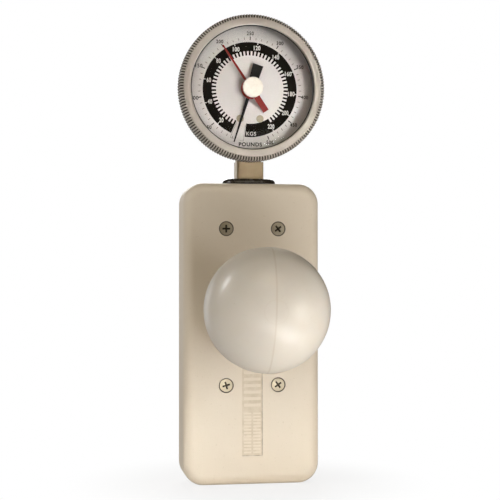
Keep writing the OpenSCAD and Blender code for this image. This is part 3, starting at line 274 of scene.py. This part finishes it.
def pad_ring(look):
    """Factor of the faint ring round the middle of the pad."""
    ring_r = 6.75
    part = look.parts(PUSH)
    radius = look.length(part["X"], part["Z"])
    return look.within(look.calc("SUBTRACT", radius, ring_r * MM), 0.1, 0.5)


def pad_vinyl():
    """Soft cream vinyl with a glossy skin, a faint seam and a fainter ring."""
    look = Look("pad_vinyl", (228, 219, 206), 0.36, Specular_IOR_Level=0.5,
                Subsurface_Weight=0.12, Subsurface_Radius=(0.004, 0.0025, 0.0015), Subsurface_Scale=1.0,
                Coat_Weight=0.26, Coat_Roughness=0.22)
    seam = pad_seam(look)
    look.blotch((216, 205, 189), 0.55, 28, 0.4, 0.72)
    look.blotch((196, 180, 156), 0.3, 420, 0.66, 0.76, detail=3.0, rough=0.7)
    look.tint(seam, (206, 190, 170), 0.4)
    look.tint(pad_ring(look), (212, 197, 176), 0.12)
    look.relief(seam, 0.06, 0.4)
    look.relief(look.noise(260), 0.05, 0.35)
    return look.shine(look.noise(120, 4.0), 0.28, 0.46)


def metal(name, colour, rough, marks, depth, spread, axis=None, stretch=None, dark=None, purity=1.0):
    """Metal with tool marks turned round an axis or brushed. spread is how far its roughness varies."""
    look = Look(name, colour, rough, purity)
    look.blotch(dark or [0.82 * value for value in colour], 0.6, 60, 0.42, 0.75, detail=5.0, rough=0.65)
    lines = look.brushed(marks, stretch) if axis is None else look.turned(marks, axis)
    look.shine(lines, rough - spread / 2, rough + spread)
    return look.relief(lines, depth, 0.7)


def rubber(name, colour, rough):
    look = Look(name, colour, rough, Specular_IOR_Level=0.5)
    look.blotch((62, 56, 48), 0.35, 160, 0.5, 0.8, detail=5.0, rough=0.7)
    look.shine(look.noise(240, 4.0), rough - 0.08, rough + 0.16)
    return look.relief(look.noise(900), 0.03, 0.4)


def paint(name, colour, rough, fleck=None, coat=0.0, gloss=0.5):
    look = Look(name, colour, rough, Coat_Weight=coat, Specular_IOR_Level=gloss)
    look.blotch(fleck or [0.93 * value for value in colour], 0.5, 70, 0.4, 0.8)
    look.shine(look.noise(500), rough - 0.06, rough + 0.1)
    return look.relief(look.noise(1400, 2.0), 0.012, 0.4)


def clear_glass():
    """A thin pane that lets lamps through. Its gloss follows Fresnel and is duller where it was wiped."""
    look = Look("lens_glass", (246, 248, 248), 0.03)
    look.relief(look.noise(30, 2.0), 0.02, 0.2)
    wiped = look.ramp(look.noise(45, 5.0, 0.6), 0.45, 0.8, 0.06, 0.14)
    clear = look.make("ShaderNodeBsdfTransparent", {"Color": (0.965, 0.96, 0.96, 1)})
    surface = {"Color": (1, 1, 1, 1), "Roughness": wiped, "Normal": look.normal}
    gloss = look.make("ShaderNodeBsdfGlossy", surface)
    fresnel = look.make("ShaderNodeFresnel", {"IOR": 1.3}).outputs[0]
    return look.shade_as(fresnel, clear, gloss)


LOOKS = {
    "paint": housing_paint(),
    "vinyl": pad_vinyl(),
    "bezel": metal("bezel_satin", (180, 171, 161), 0.52, 5200, 0.012, 0.14, GAUGE,
                   dark=(168, 159, 149), purity=0.4),
    # Dark metal for the knurl's grooves: painted shade, with some grime
    "groove_shade": metal("bezel_groove_shade", (64, 56, 46), 0.6, 5200, 0.012, 0.14, GAUGE,
                    dark=(46, 40, 32), purity=0.3),
    "lip": metal("bezel_lip", (200, 193, 182), 0.34, 7000, 0.004, 0.08, GAUGE),
    "case": metal("case_steel", (168, 160, 148), 0.36, 2600, 0.012, 0.12, stretch=(1, 0.05, 1)),
    "neck": metal("neck_brass", (162, 143, 113), 0.36, 2400, 0.012, 0.14,
                  stretch=(0.05, 0.05, 1), dark=(130, 112, 84)),
    "screw": metal("screw_steel", (186, 174, 152), 0.46, 1500, 0.02, 0.16,
                   stretch=(1, 1, 1), dark=(140, 128, 104)),
    # Dark metal inside the screws' cross recesses: painted shade
    "recess": metal("screw_recess", (70, 60, 46), 0.55, 1500, 0.02, 0.16,
                    stretch=(1, 1, 1), dark=(40, 34, 26)),
    "steel": metal("turned_steel", (172, 172, 172), 0.28, 6000, 0.008, 0.12, PUSH),
    "arbor": metal("arbor_steel", (176, 176, 178), 0.22, 6000, 0.004, 0.1, GAUGE),
    "aluminium": metal("milled_aluminium", (188, 189, 190), 0.38, 1400, 0.02, 0.14, stretch=(0.06, 1, 1)),
    "hub": metal("turned_aluminium", (184, 185, 187), 0.34, 3600, 0.012, 0.12, PUSH),
    "brass": metal("movement_brass", (198, 168, 104), 0.32, 1800, 0.01, 0.12,
                   stretch=(0.06, 1, 1), dark=(160, 128, 72)),
    "bronze": metal("tube_bronze", (184, 138, 96), 0.3, 4000, 0.01, 0.12, GAUGE, dark=(140, 96, 60)),
    "copper": metal("copper_seal", (190, 122, 88), 0.34, 1600, 0.01, 0.12,
                    stretch=(1, 1, 0.1), dark=(130, 80, 56)),
    "grommet": rubber("grommet_rubber", (44, 38, 30), 0.22),
    "seal": rubber("seal_rubber", (30, 29, 28), 0.5),
    "bush": paint("bushing_plastic", (28, 27, 26), 0.4),
    "dial": paint("dial_white", (236, 231, 228), 0.42, (228, 220, 218), gloss=0.2),
    "ink": paint("dial_ink", (20, 15, 10), 0.6, (28, 22, 16), gloss=0.05),
    "grey_ink": paint("dial_grey_ink", (58, 51, 45), 0.6, gloss=0.05),
    "faint_ink": paint("dial_faint_ink", (124, 104, 90), 0.5, gloss=0.1),
    "white_ink": paint("dial_white_ink", (232, 228, 222), 0.5, gloss=0.1),
    "black": paint("pointer_black", (20, 18, 16), 0.45, gloss=0.2),
    "red": paint("hand_red", (150, 34, 26), 0.4, (130, 28, 22), gloss=0.3),
    "knob": paint("knob_ivory", (231, 223, 210), 0.26, (224, 215, 198), 0.3),
    "glass": clear_glass(),
}

# CAD nodes that stay, by their look
CARRIED = {
    "paint": ["front_shell", "rear_cover"],
    "grommet": ["stem_grommet"],
    "aluminium": ["cell_body"],
    "steel": ["gland_ring", "piston", "push_rod", "lock_nut"],
    "hub": ["pad_hub"],
    "bush": ["rod_bushing"],
    "seal": ["piston_seal", "vent_plug", "lens_gasket"],
    "copper": ["plug_seal"],
    "neck": ["gauge_socket"],
    "case": ["gauge_case"],
    "screw": ["filler_plug", "case_screws", "dial_screws", "movement_screws"],
    "bronze": ["bourdon_tube", "hairspring"],
    "brass": ["reset_bush", "tube_tip", "tip_link", "sector_gear", "plate_pillars", "movement_back_plate",
              "movement_front_plate"],
    "arbor": ["tip_pin", "tail_pin", "sector_arbor", "pinion_shaft", "reset_spindle", "friction_washer"],
    "dial": ["dial"],
    "black": ["pointer"],
    "red": ["max_hand"],
}


def dress(obj, *looks):
    obj.data.materials.clear()
    for look in looks:
        obj.data.materials.append(LOOKS[look].material)


def dress_frame():
    for look, names in CARRIED.items():
        for name in names:
            dress(frame["nodes"][name], look)


# Meshes. POLE is the radius at which a profile that meets its axis begins
POLE = 0.001


def piece(name, shape, looks, body, face_looks=None, angle=35):
    """A piece of (points in metres, faces) that rides on a body. face_looks picks each face's look."""
    verts, faces = shape
    mesh = bpy.data.meshes.new(name)
    mesh.from_pydata([tuple(v) for v in verts], [], faces)
    mesh.validate()
    obj = bpy.data.objects.new(name, mesh)
    bpy.context.scene.collection.objects.link(obj)
    dress(obj, *looks)
    work = bmesh.new()
    work.from_mesh(mesh)
    bmesh.ops.remove_doubles(work, verts=work.verts, dist=1e-7)
    if face_looks:
        for face in work.faces:
            face.material_index = face_looks(face)
    bmesh.ops.recalc_face_normals(work, faces=work.faces)
    work.to_mesh(mesh)
    work.free()
    mesh.shade_smooth()
    mesh.set_sharp_from_angle(angle=math.radians(angle))
    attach(obj, body)
    return obj


def joined(shapes):
    """One shape of several."""
    verts = []
    faces = []
    for more_verts, more_faces in shapes:
        first = len(verts)
        verts += more_verts
        faces += [tuple(first + i for i in face) for face in more_faces]
    return verts, faces


def ring_faces(rows, count, closed):
    """Faces between rows of count points, each row a ring. Where closed, the last row joins the first."""
    faces = []
    for row in range(rows if closed else rows - 1):
        low = row * count
        high = (row + 1) % rows * count
        for i in range(count):
            j = (i + 1) % count
            faces.append((low + i, low + j, high + j, high + i))
    return faces


def lathe(profile, steps, place, closed=True):
    """Turns a profile of (radius, height) about an axis, in equal steps."""
    turns = [2 * math.pi * i / steps for i in range(steps)]
    verts = [place(r * math.cos(turn), r * math.sin(turn), h) for r, h in profile for turn in turns]
    return verts, ring_faces(len(profile), steps, closed)


def arc(cx, cy, r, start, end, steps):
    """Points from one angle to another, in degrees."""
    turns = [math.radians(start + (end - start) * i / steps) for i in range(steps + 1)]
    return [(cx + r * math.cos(turn), cy + r * math.sin(turn)) for turn in turns]


# Push pad: its dome, straight side and rounded shoulders, and the collar behind it
PAD_DOME_H = 26.9
PAD_SHOULDER_R = 21.0
PAD_SIDE_L = 7.5
PAD_REAR_R = 13.0
PAD_BLEND_R = 5.0
PAD_COLLAR_R = 17.0
PAD_RIM_R = 0.8
# Hole for the hub's boss, its rounded mouth, and the pocket for the hub's flange
PAD_HOLE_R = 13.15
PAD_MOUTH_R = 0.6
PAD_POCKET_R = 22.15
PAD_POCKET_BACK = 17.8
PAD_POCKET_FRONT = 23.2


def pad_profile():
    """Half of the pad's section, from its crown round its back and into its pocket."""
    radius = (PAD_HIGH.x - PAD_LOW.x) / 2
    crown = FRONT - PAD_LOW.y
    back = FRONT - PAD_HIGH.y
    side = crown - PAD_DOME_H
    side_back = side - PAD_SIDE_L
    body_back = side_back - PAD_REAR_R
    # The crown's arc has the radius at which it runs smoothly into the shoulder's
    rise = radius ** 2 - 2 * radius * PAD_SHOULDER_R + PAD_DOME_H ** 2
    crown_r = rise / (2 * (PAD_DOME_H - PAD_SHOULDER_R))
    turn = math.degrees(math.asin((radius - PAD_SHOULDER_R) / (crown_r - PAD_SHOULDER_R)))
    line = [(POLE, crown)]
    line += arc(0, crown - crown_r, crown_r, 89, 90 - turn, 26)
    line += arc(radius - PAD_SHOULDER_R, side, PAD_SHOULDER_R, 88 - turn, 0, 30)
    line += arc(radius - PAD_REAR_R, side_back, PAD_REAR_R, 0, -88, 24)
    line += arc(PAD_COLLAR_R + PAD_BLEND_R, body_back - PAD_BLEND_R, PAD_BLEND_R, 92, 180, 12)
    line += arc(PAD_COLLAR_R - PAD_RIM_R, back + PAD_RIM_R, PAD_RIM_R, 0, -90, 5)
    line += arc(PAD_HOLE_R + PAD_MOUTH_R, back + PAD_MOUTH_R, PAD_MOUTH_R, -90, -180, 4)
    line += [(PAD_HOLE_R, back + PAD_POCKET_BACK), (PAD_POCKET_R, back + PAD_POCKET_BACK)]
    line += [(PAD_POCKET_R, back + PAD_POCKET_FRONT), (POLE, back + PAD_POCKET_FRONT)]
    return line


def build_pad():
    shape = lathe(pad_profile(), 192, on_push, closed=False)
    pad = piece("push_pad_skin", shape, ["vinyl"], "plunger", angle=50)
    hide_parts("push_pad")


# Bezel: a turned ring whose knurl runs out over its shoulder
BEZEL_FACE_W = 7.0
BEZEL_FACE_T = 1.7
BEZEL_WALL = 2.85
SHOULDER_R = 2.8
SHOULDER_STEPS = 10
KNURL_TEETH = 162
KNURL_DEPTH = 0.7
# Height of the knurl at equal steps through one tooth, as a share of its depth
KNURL_TOOTH = (0.0, 0.8, 1.0, 0.8)


def bezel_section(outer, front, back):
    """Points of (radius, height, in, down), where in and down point to the bottom of the knurl's groove."""
    window = outer - BEZEL_FACE_W
    inner = outer - BEZEL_WALL
    lip_back = front - BEZEL_FACE_T
    plain = [(inner, back), (inner, lip_back), (window, lip_back), (window, front - 0.5)]
    plain += [(window + 0.15, front - 0.2), (window + 0.45, front - 0.02), (window + 0.9, front)]
    plain += [(window + 2.6, front - 0.02), (outer - SHOULDER_R - 0.8, front - 0.08)]
    section = [(r, g, 0.0, 0.0) for r, g in plain]
    shoulder = arc(outer - SHOULDER_R, front - 0.1 - SHOULDER_R, SHOULDER_R, 90, 0, SHOULDER_STEPS)
    for i, (r, g) in enumerate(shoulder):
        turn = math.radians(90 - 90 * i / SHOULDER_STEPS)
        cut = 1.0 if i else 0.0
        section.append((r, g, cut * math.cos(turn), cut * math.sin(turn)))
    section += [(outer, back + 0.8, 1.0, 0.0), (outer - 0.3, back + 0.25, 0.5, 0.0)]
    return section + [(outer - 0.8, back, 0.0, 0.0)]


def knurled(section):
    """Turns the bezel's section about the gauge's axis, with its knurl."""
    count = KNURL_TEETH * len(KNURL_TOOTH)
    verts = []
    for r, g, inwards, down in section:
        for i in range(count):
            turn = 2 * math.pi * i / count
            cut = KNURL_DEPTH * (1 - KNURL_TOOTH[i % len(KNURL_TOOTH)])
            reach = r - cut * inwards
            verts.append(on_gauge(reach * math.cos(turn), reach * math.sin(turn), g - cut * down))
    return verts, ring_faces(len(section), count, closed=True)


def build_bezel():
    low, high = in_mm(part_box("bezel"))
    outer = (high.x - low.x) / 2
    front = GAUGE.y - low.y
    window = outer - BEZEL_FACE_W
    lip_back = front - BEZEL_FACE_T

    def surface(face):
        """1 on the lip round the window, 2 in the knurl's grooves, which take a dark look of painted shade
        and grime, and 0 elsewhere.
        """
        middle = face.calc_center_median() / MM - GAUGE
        radius = math.hypot(middle.x, middle.z)
        if radius < window + 0.5 and -middle.y > lip_back - 0.2:
            return 1
        phase = math.atan2(middle.z, middle.x) / (2 * math.pi) * KNURL_TEETH % 1
        groove_shade = phase < 0.25 or phase > 0.75
        return 2 if groove_shade and radius > outer - 0.85 * SHOULDER_R else 0

    shape = knurled(bezel_section(outer, front, GAUGE.y - high.y))
    looks = ["bezel", "lip", "groove_shade"]
    ring = piece("bezel_ring", shape, looks, "housing", surface, angle=32)
    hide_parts("bezel")
    # A black sealant bead inside the lip, put there as painted shade for the gap between the lip and the
    # lens
    shade_bead = [(window, lip_back + 0.02), (window, lip_back + 0.5)]
    shade_bead += [(window - 0.3, lip_back + 0.42), (window - 0.62, lip_back + 0.02)]
    piece("lens_shade_bead", lathe(shade_bead, 240, on_gauge), ["seal"], "housing")


# Lens: a moulded pane whose middle stands out from its rim, with a hole for the reset spindle
LENS_HOLE_R = 3.02
LENS_STEP_R = 36.4
LENS_STEP = 0.35


def build_lens():
    low, high = in_mm(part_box("lens"))
    front = GAUGE.y - low.y
    back = GAUGE.y - high.y
    rim_r = (high.x - low.x) / 2
    rim_front = front - LENS_STEP
    line = [(LENS_HOLE_R, back), (LENS_HOLE_R, front)]
    line += arc(LENS_STEP_R - 0.3, rim_front, LENS_STEP, 90, 0, 4)
    line += [(LENS_STEP_R + 0.15, rim_front), (rim_r, rim_front), (rim_r, back)]
    pane = piece("lens_pane", lathe(line, 240, on_gauge), ["glass"], "housing", angle=20)
    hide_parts("lens")


# Dial print: heights of its layers, then the kilogram band's radii and clockwise angles in degrees
INK = GAUGE.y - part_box("dial")[0].y / MM + 0.02
WHITE_INK = INK + 0.02
LETTER_INK = INK + 0.03
BAND_IN = 24.1
BAND_OUT = 29.8
BAND_START = 203.5
BAND_END = 509.6
TOOTH_IN = 21.4
TOOTH_PITCH = 5.73
BLOCK_END = 546.4
# Ends of the zero gap's two lines and of the short arcs between them
ZERO_IN = 22.4
ZERO_OUT = 32.6
ZERO_LINES = (187.4, 202.4)
ZERO_ARCS = ((187.4, 191.5), (198.5, 202.4))
# Radii of the ticks' two ends, and of the middles of the numbers
POUND_TICK = (31.0, 33.3)
MINOR_TICK = (31.2, 32.7)
WHITE_TICK = (28.6, 29.82)
POUND_NUMBER_R = 35.2
KILOGRAM_NUMBER_R = 26.5
# Scale: full load, direction of no load, mean step, and the swell that sets it off from even steps
FULL_LB = 500
LB_PER_KG = 2.2046
ZERO_ANGLE = 193.8
ANGLE_PER_LB = 0.65
SWELL = 4.2
SWELL_POWER = 1.3


def scale_angle(pounds):
    """Direction of a load on the dial, clockwise from the top."""
    swell = SWELL * math.sin(math.pi * (pounds / FULL_LB) ** SWELL_POWER)
    return ZERO_ANGLE + ANGLE_PER_LB * pounds + swell


def band(inside, outside, start, end):
    """A flat band of ink between two radii and two angles."""
    steps = max(1, math.ceil(abs(end - start) / 1.5))
    verts = []
    for i in range(steps + 1):
        s, c = clockwise(start + (end - start) * i / steps)
        verts += [on_gauge(inside * s, inside * c, INK), on_gauge(outside * s, outside * c, INK)]
    return verts, [(2 * i, 2 * i + 1, 2 * i + 3, 2 * i + 2) for i in range(steps)]


def tick(inside, outside, angle, width, g=INK):
    """A straight mark that points at the middle of the dial."""
    s, c = clockwise(angle)
    corners = ((inside, -width / 2), (outside, -width / 2), (outside, width / 2), (inside, width / 2))
    return [on_gauge(r * s + side * c, r * c - side * s, g) for r, side in corners], [(0, 1, 2, 3)]


def lettering(text, x, y, tall, wide, g, bold=0.03):
    """A word with its middle at x, y. wide is the width of a character over its height."""
    curve = bpy.data.curves.new(text, "FONT")
    curve.body = text
    curve.resolution_u = 6
    curve.offset = bold
    curve.space_character = 1.12
    holder = bpy.data.objects.new(text, curve)
    bpy.context.scene.collection.objects.link(holder)
    bpy.context.view_layer.update()
    mesh = holder.to_mesh()
    xs = [v.co.x for v in mesh.vertices]
    ys = [v.co.y for v in mesh.vertices]
    verts = []
    for v in mesh.vertices:
        across = (v.co.x - min(xs)) / (max(xs) - min(xs)) - 0.5
        up = (v.co.y - min(ys)) / (max(ys) - min(ys)) - 0.5
        verts.append(on_gauge(x + across * tall * wide * len(text), y + up * tall, g))
    faces = [tuple(polygon.vertices) for polygon in mesh.polygons]
    holder.to_mesh_clear()
    bpy.data.objects.remove(holder)
    bpy.data.curves.remove(curve)
    return verts, faces


def numbers(values, pounds, radius, tall, wide, g, bold=0.03):
    """Numbers round the dial. pounds is how many pounds one of their unit is."""
    words = []
    for value in values:
        s, c = clockwise(scale_angle(pounds * value))
        words.append(lettering(str(value), radius * s, radius * c, tall, wide, g, bold))
    return words


def print_ink(name, shapes, look):
    piece(name, joined(shapes), [look], "housing")


def build_dial():
    pound_steps = range(50, FULL_LB + 1, 50)
    kilogram_steps = range(20, 221, 20)
    black = [band(BAND_IN, BAND_OUT, BAND_START, BAND_END), band(TOOTH_IN, BAND_OUT, BAND_END, BLOCK_END)]
    at = BAND_START
    while at < BAND_END - 1:
        black.append(band(TOOTH_IN, BAND_IN + 0.05, at, min(at + TOOTH_PITCH / 2, BAND_END)))
        at += TOOTH_PITCH
    black += [tick(*POUND_TICK, scale_angle(lb), 0.56) for lb in pound_steps]
    print_ink("dial_black", black, "ink")
    minor = [tick(*MINOR_TICK, scale_angle(lb), 0.34) for lb in range(10, FULL_LB, 10) if lb % 50]
    print_ink("dial_minor_ticks", minor, "faint_ink")
    zero = [tick(ZERO_IN, ZERO_OUT, angle, 0.16) for angle in ZERO_LINES]
    zero += [band(ZERO_OUT - 0.15, ZERO_OUT, start, end) for start, end in ZERO_ARCS]
    print_ink("dial_zero_lines", zero, "grey_ink")
    white = [tick(*WHITE_TICK, scale_angle(LB_PER_KG * kg), 0.5, WHITE_INK) for kg in kilogram_steps]
    print_ink("dial_white_ticks", white, "white_ink")
    pounds = numbers(pound_steps, 1, POUND_NUMBER_R, 2.4, 0.62, WHITE_INK, 0.025)
    print_ink("dial_pound_numbers", pounds, "grey_ink")
    print_ink("dial_pound_word", [lettering("POUNDS", 0.3, -34.3, 2.5, 0.98, WHITE_INK)], "ink")
    kilograms = numbers(kilogram_steps, LB_PER_KG, KILOGRAM_NUMBER_R, 2.9, 0.48, LETTER_INK)
    print_ink("dial_kilogram_numbers", kilograms, "white_ink")
    kilogram_word = lettering("KGS", 0.8, -27.6, 2.4, 0.86, LETTER_INK, 0.01)
    print_ink("dial_kilogram_word", [kilogram_word], "white_ink")


# Countersunk screws. Their cross recess is sized in shares of a head's radius, at its mouth and its bottom
CROSS_REACH = (0.6, 0.24)
CROSS_HALF_WIDTH = (0.14, 0.08)
CROSS_DEPTH = 0.5


def screw_profile(head, thread, length):
    """Half of a screw's section, with its face at 0 and its thread downwards."""
    neck = thread - head
    line = [(POLE, 0), (head - 0.28, 0), (head - 0.08, -0.06), (head, -0.22)]
    line += [(thread + 0.1, neck - 0.1), (thread, neck - 0.2)]
    pitch = 0.7 if thread > 1.7 else 0.5
    h = neck - 0.6
    while h > 0.6 - length:
        line += [(thread, h), (thread - 0.3, h - pitch / 2)]
        h -= pitch
    return line + [(thread - 0.3, -length), (POLE, -length)]


def cross_shape(head, turn):
    """The tapered cross that is cut into a screw's head, turned by an angle in degrees."""
    c = math.cos(math.radians(turn))
    s = math.sin(math.radians(turn))
    verts = []
    for reach, half_width, z in zip(CROSS_REACH, CROSS_HALF_WIDTH, (0.05, -CROSS_DEPTH * head)):
        a = reach * head
        b = half_width * head
        half = [(a, -b), (a, b), (b, b), (b, a), (-b, a), (-b, b)]
        outline = half + [(-x, -y) for x, y in half]
        verts += [(x * c - y * s, x * s + y * c, z) for x, y in outline]
    count = len(verts) // 2
    sides = [(i, (i + 1) % count, count + (i + 1) % count, count + i) for i in range(count)]
    return verts, [tuple(range(count)), tuple(range(2 * count - 1, count - 1, -1))] + sides


def scratch_object(name, shape):
    """An object with merged points and outward normals, for a boolean."""
    verts, faces = shape
    mesh = bpy.data.meshes.new(name)
    mesh.from_pydata(verts, [], faces)
    work = bmesh.new()
    work.from_mesh(mesh)
    bmesh.ops.remove_doubles(work, verts=work.verts, dist=0.01)
    bmesh.ops.recalc_face_normals(work, faces=work.faces)
    work.to_mesh(mesh)
    work.free()
    obj = bpy.data.objects.new(name, mesh)
    bpy.context.scene.collection.objects.link(obj)
    return obj


def screw_shape(head, thread, length, turn):
    """One screw in millimetres, with its recess cut."""
    profile = screw_profile(head, thread, length)
    blank = scratch_object("blank", lathe(profile, 64, lambda x, y, z: Vector((x, y, z)), closed=False))
    cutter = scratch_object("cutter", cross_shape(head, turn))
    cut = blank.modifiers.new("cut", "BOOLEAN")
    cut.operation = "DIFFERENCE"
    cut.solver = "EXACT"
    cut.object = cutter
    bpy.context.view_layer.update()
    made = blank.evaluated_get(bpy.context.evaluated_depsgraph_get()).to_mesh()
    verts = [v.co.copy() for v in made.vertices]
    faces = [tuple(polygon.vertices) for polygon in made.polygons]
    bpy.data.objects.remove(blank)
    bpy.data.objects.remove(cutter)
    return verts, faces


def build_screws(name, node, places, turns, head, thread, length, place):
    """All the screws of a node as one piece. places are (x, y) in the frame that place maps."""
    shapes = []
    for (x, y), turn in zip(places, turns):
        verts, faces = screw_shape(head, thread, length, turn)
        shapes.append(([place(x + v.x, y + v.y, v.z) for v in verts], faces))
    axes = [(place(x, y, 0) / MM, (place(x, y, -1) - place(x, y, 0)) / MM) for x, y in places]

    def surface(face):
        """1 inside the cross recess, whose faces take a dark look of painted shade, and 0 elsewhere."""
        middle = face.calc_center_median() / MM
        centre, inward = min(axes, key=lambda axis: (middle - axis[0]).length)
        depth = (middle - centre).dot(inward)
        radius = (middle - centre - depth * inward).length
        inside = radius < CROSS_REACH[0] * (head - depth)
        return 1 if inside and 0.02 < depth < CROSS_DEPTH * head + 0.02 else 0

    group = piece(name, joined(shapes), ["screw", "recess"], "housing", surface, angle=28)
    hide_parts(node)


def build_cell_screws():
    places = [(side * CELL_X, end * CELL_Z) for end in (1, -1) for side in (-1, 1)]
    build_screws("cell_screw_set", "cell_screws", places, [0, 38, 17, 35], CELL_HEAD, 2.0, 13.0,
                 lambda x, y, h: on_push(x, y, h - CELL_SINK))


def build_cover_screws():
    low, high = in_mm(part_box("cover_screws"))
    head = 2.9
    reach = (high.x - low.x) / 2 - head
    heights = [low.z + head, (low.z + high.z) / 2, high.z - head]
    places = [(side * reach, z) for z in heights for side in (-1, 1)]
    build_screws("cover_screw_set", "cover_screws", places, range(0, 150, 25), head, 1.5, 14.0,
                 lambda x, z, h: Vector((x, high.y + h, z)) * MM)


# Reset knob: a turned button with a soft edge and a faintly dished face
def build_knob():
    low, high = in_mm(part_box("reset_knob"))
    radius = (high.x - low.x) / 2
    front = GAUGE.y - low.y
    back = GAUGE.y - high.y
    hole_r = 1.52
    line = [(hole_r, back + 0.02), (radius - 0.5, back + 0.02)]
    line += arc(radius - 0.3, back + 0.3, 0.3, -60, 0, 3)
    line += arc(radius - 0.8, front - 0.8, 0.8, 0, 80, 8)
    line += [(radius * 0.6, front - 0.03), (radius * 0.3, front - 0.06), (POLE, front - 0.07)]
    shape = lathe(line, 96, on_gauge, closed=False)
    knob = piece("knob_button", shape, ["knob"], "reset", angle=50)
    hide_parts("reset_knob")


# Floor: pale paper that shows as white away from the object and takes its shadow close to it
def build_floor():
    reach = 6.0
    gap = 0.0002
    corners = [(-reach, -reach, 0), (reach, -reach, 0), (reach, reach, 0), (-reach, reach, 0)]
    mesh = bpy.data.meshes.new("floor")
    mesh.from_pydata(corners, [], [(0, 1, 2, 3)])
    floor = bpy.data.objects.new("floor", mesh)
    bpy.context.scene.collection.objects.link(floor)
    floor.location.z = -gap
    look = Look("floor_paper", (236, 236, 236), 0.9)
    look.relief(look.noise(240, 2.0), 0.05, 0.2)
    paper = look.make("ShaderNodeBsdfDiffuse", {"Color": (0.86, 0.86, 0.86, 1), "Normal": look.normal})
    white = look.make("ShaderNodeEmission", {"Color": (1, 1, 1, 1), "Strength": 1.0})
    path = look.make("ShaderNodeLightPath").outputs
    seen = look.calc("MAXIMUM", path["Is Camera Ray"], path["Is Transmission Ray"])
    away = look.make("ShaderNodeVectorMath", {0: look.place}, operation="LENGTH").outputs["Value"]
    far = look.ramp(away, 0.03, 0.12, 0.8, 1.0, "SMOOTHSTEP")
    look.shade_as(look.product(seen, far), paper, white)
    floor.data.materials.append(look.material)


# World: a weak warm light all round, which the camera sees as white
def build_world():
    world = bpy.data.worlds.new("studio")
    bpy.context.scene.world = world
    world.use_nodes = True
    tree = world.node_tree
    tree.nodes.clear()
    path = add_node(tree, "ShaderNodeLightPath").outputs
    rays = {0: path["Is Camera Ray"], 1: path["Is Transmission Ray"]}
    seen = add_node(tree, "ShaderNodeMath", rays, operation="MAXIMUM").outputs[0]
    ambient = add_node(tree, "ShaderNodeBackground", {"Color": (1.0, 0.9, 0.75, 1), "Strength": 0.06})
    white = add_node(tree, "ShaderNodeBackground", {"Color": (1, 1, 1, 1)})
    shades = {0: seen, 1: ambient.outputs[0], 2: white.outputs[0]}
    mix = add_node(tree, "ShaderNodeMixShader", shades).outputs[0]
    add_node(tree, "ShaderNodeOutputWorld", {"Surface": mix})


# Lamps: place and target in metres, size in metres, power in watts and spread in degrees
WHITE = (1.0, 1.0, 1.0)
WARM = (1.0, 0.91, 0.73)


def lamp(name, place, target, size, watts, spread=180, colour=WHITE):
    data = bpy.data.lights.new(name, "AREA")
    data.shape = "RECTANGLE"
    data.size, data.size_y = size
    data.energy = watts
    data.spread = math.radians(spread)
    data.color = colour
    obj = bpy.data.objects.new(name, data)
    obj.location = place
    obj.rotation_mode = "QUATERNION"
    obj.rotation_quaternion = (Vector(target) - Vector(place)).to_track_quat("-Z", "Y")
    obj.visible_camera = False
    bpy.context.scene.collection.objects.link(obj)


def build_lights():
    lamp("low_front", (0.04, -0.26, 0.02), (0.0, -0.05, 0.2), (0.2, 0.04), 0.022, 80)
    lamp("low_right", (0.08, -0.17, 0.02), (0.0, -0.05, 0.2), (0.12, 0.04), 0.027, 80)
    lamp("low_wide", (0.02, -0.3, 0.02), (0.0, -0.05, 0.14), (0.3, 0.04), 0.053)
    lamp("base", (0.02, -0.45, 0.03), (0.0, -0.045, 0.025), (0.2, 0.05), 0.031, 20)
    lamp("right", (0.45, -0.45, 0.1), (0.03, -0.03, 0.15), (0.2, 0.2), 0.075, 50)
    lamp("high_front", (0.0, -0.55, 0.6), (0.0, -0.03, 0.14), (0.3, 0.3), 0.8, colour=WARM)
    lamp("high_left", (-0.46, -0.1, 0.42), (-0.04, -0.02, 0.13), (0.1, 0.16), 0.9)
    lamp("left", (-0.3, 0.42, 0.12), (-0.04, 0.0, 0.1), (0.3, 0.3), 0.3)
    lamp("gauge", (0.15, -0.5, 0.17), (0.0, 0.0, 0.2456), (0.08, 0.08), 0.0125, 7)
    lamp("behind", (0.05, 0.5, 0.34), (0.0, 0.03, 0.14), (0.3, 0.3), 0.33, 60)


# Camera, fitted to the photograph: angles in degrees, distance in metres, focal length and width in pixels
AZIMUTH = -9.49
ELEVATION = -0.49
DISTANCE = 0.78905
FOCAL_LENGTH = 1277.4
IMAGE_WIDTH = 500
SENSOR_WIDTH = 36.0
CAMERA_TARGET = Vector((-1.485, FRONT, PUSH.z + 35.157))


def build_camera():
    azimuth = math.radians(AZIMUTH)
    elevation = math.radians(ELEVATION)
    across = math.cos(elevation)
    back = Vector((math.sin(azimuth) * across, -math.cos(azimuth) * across, math.sin(elevation)))
    data = bpy.data.cameras.new("camera")
    data.sensor_width = SENSOR_WIDTH
    data.lens = SENSOR_WIDTH * FOCAL_LENGTH / IMAGE_WIDTH
    data.clip_start = 0.01
    data.clip_end = 50.0
    camera = bpy.data.objects.new("camera", data)
    bpy.context.scene.collection.objects.link(camera)
    camera.location = CAMERA_TARGET * MM + back * DISTANCE
    camera.rotation_mode = "QUATERNION"
    camera.rotation_quaternion = (-back).to_track_quat("-Z", "Y")
    bpy.context.scene.camera = camera


dress_frame()
build_pad()
build_bezel()
build_lens()
build_dial()
build_cell_screws()
build_cover_screws()
build_knob()
build_floor()
build_world()
build_lights()
build_camera()
bpy.context.scene.view_settings.view_transform = "Standard"
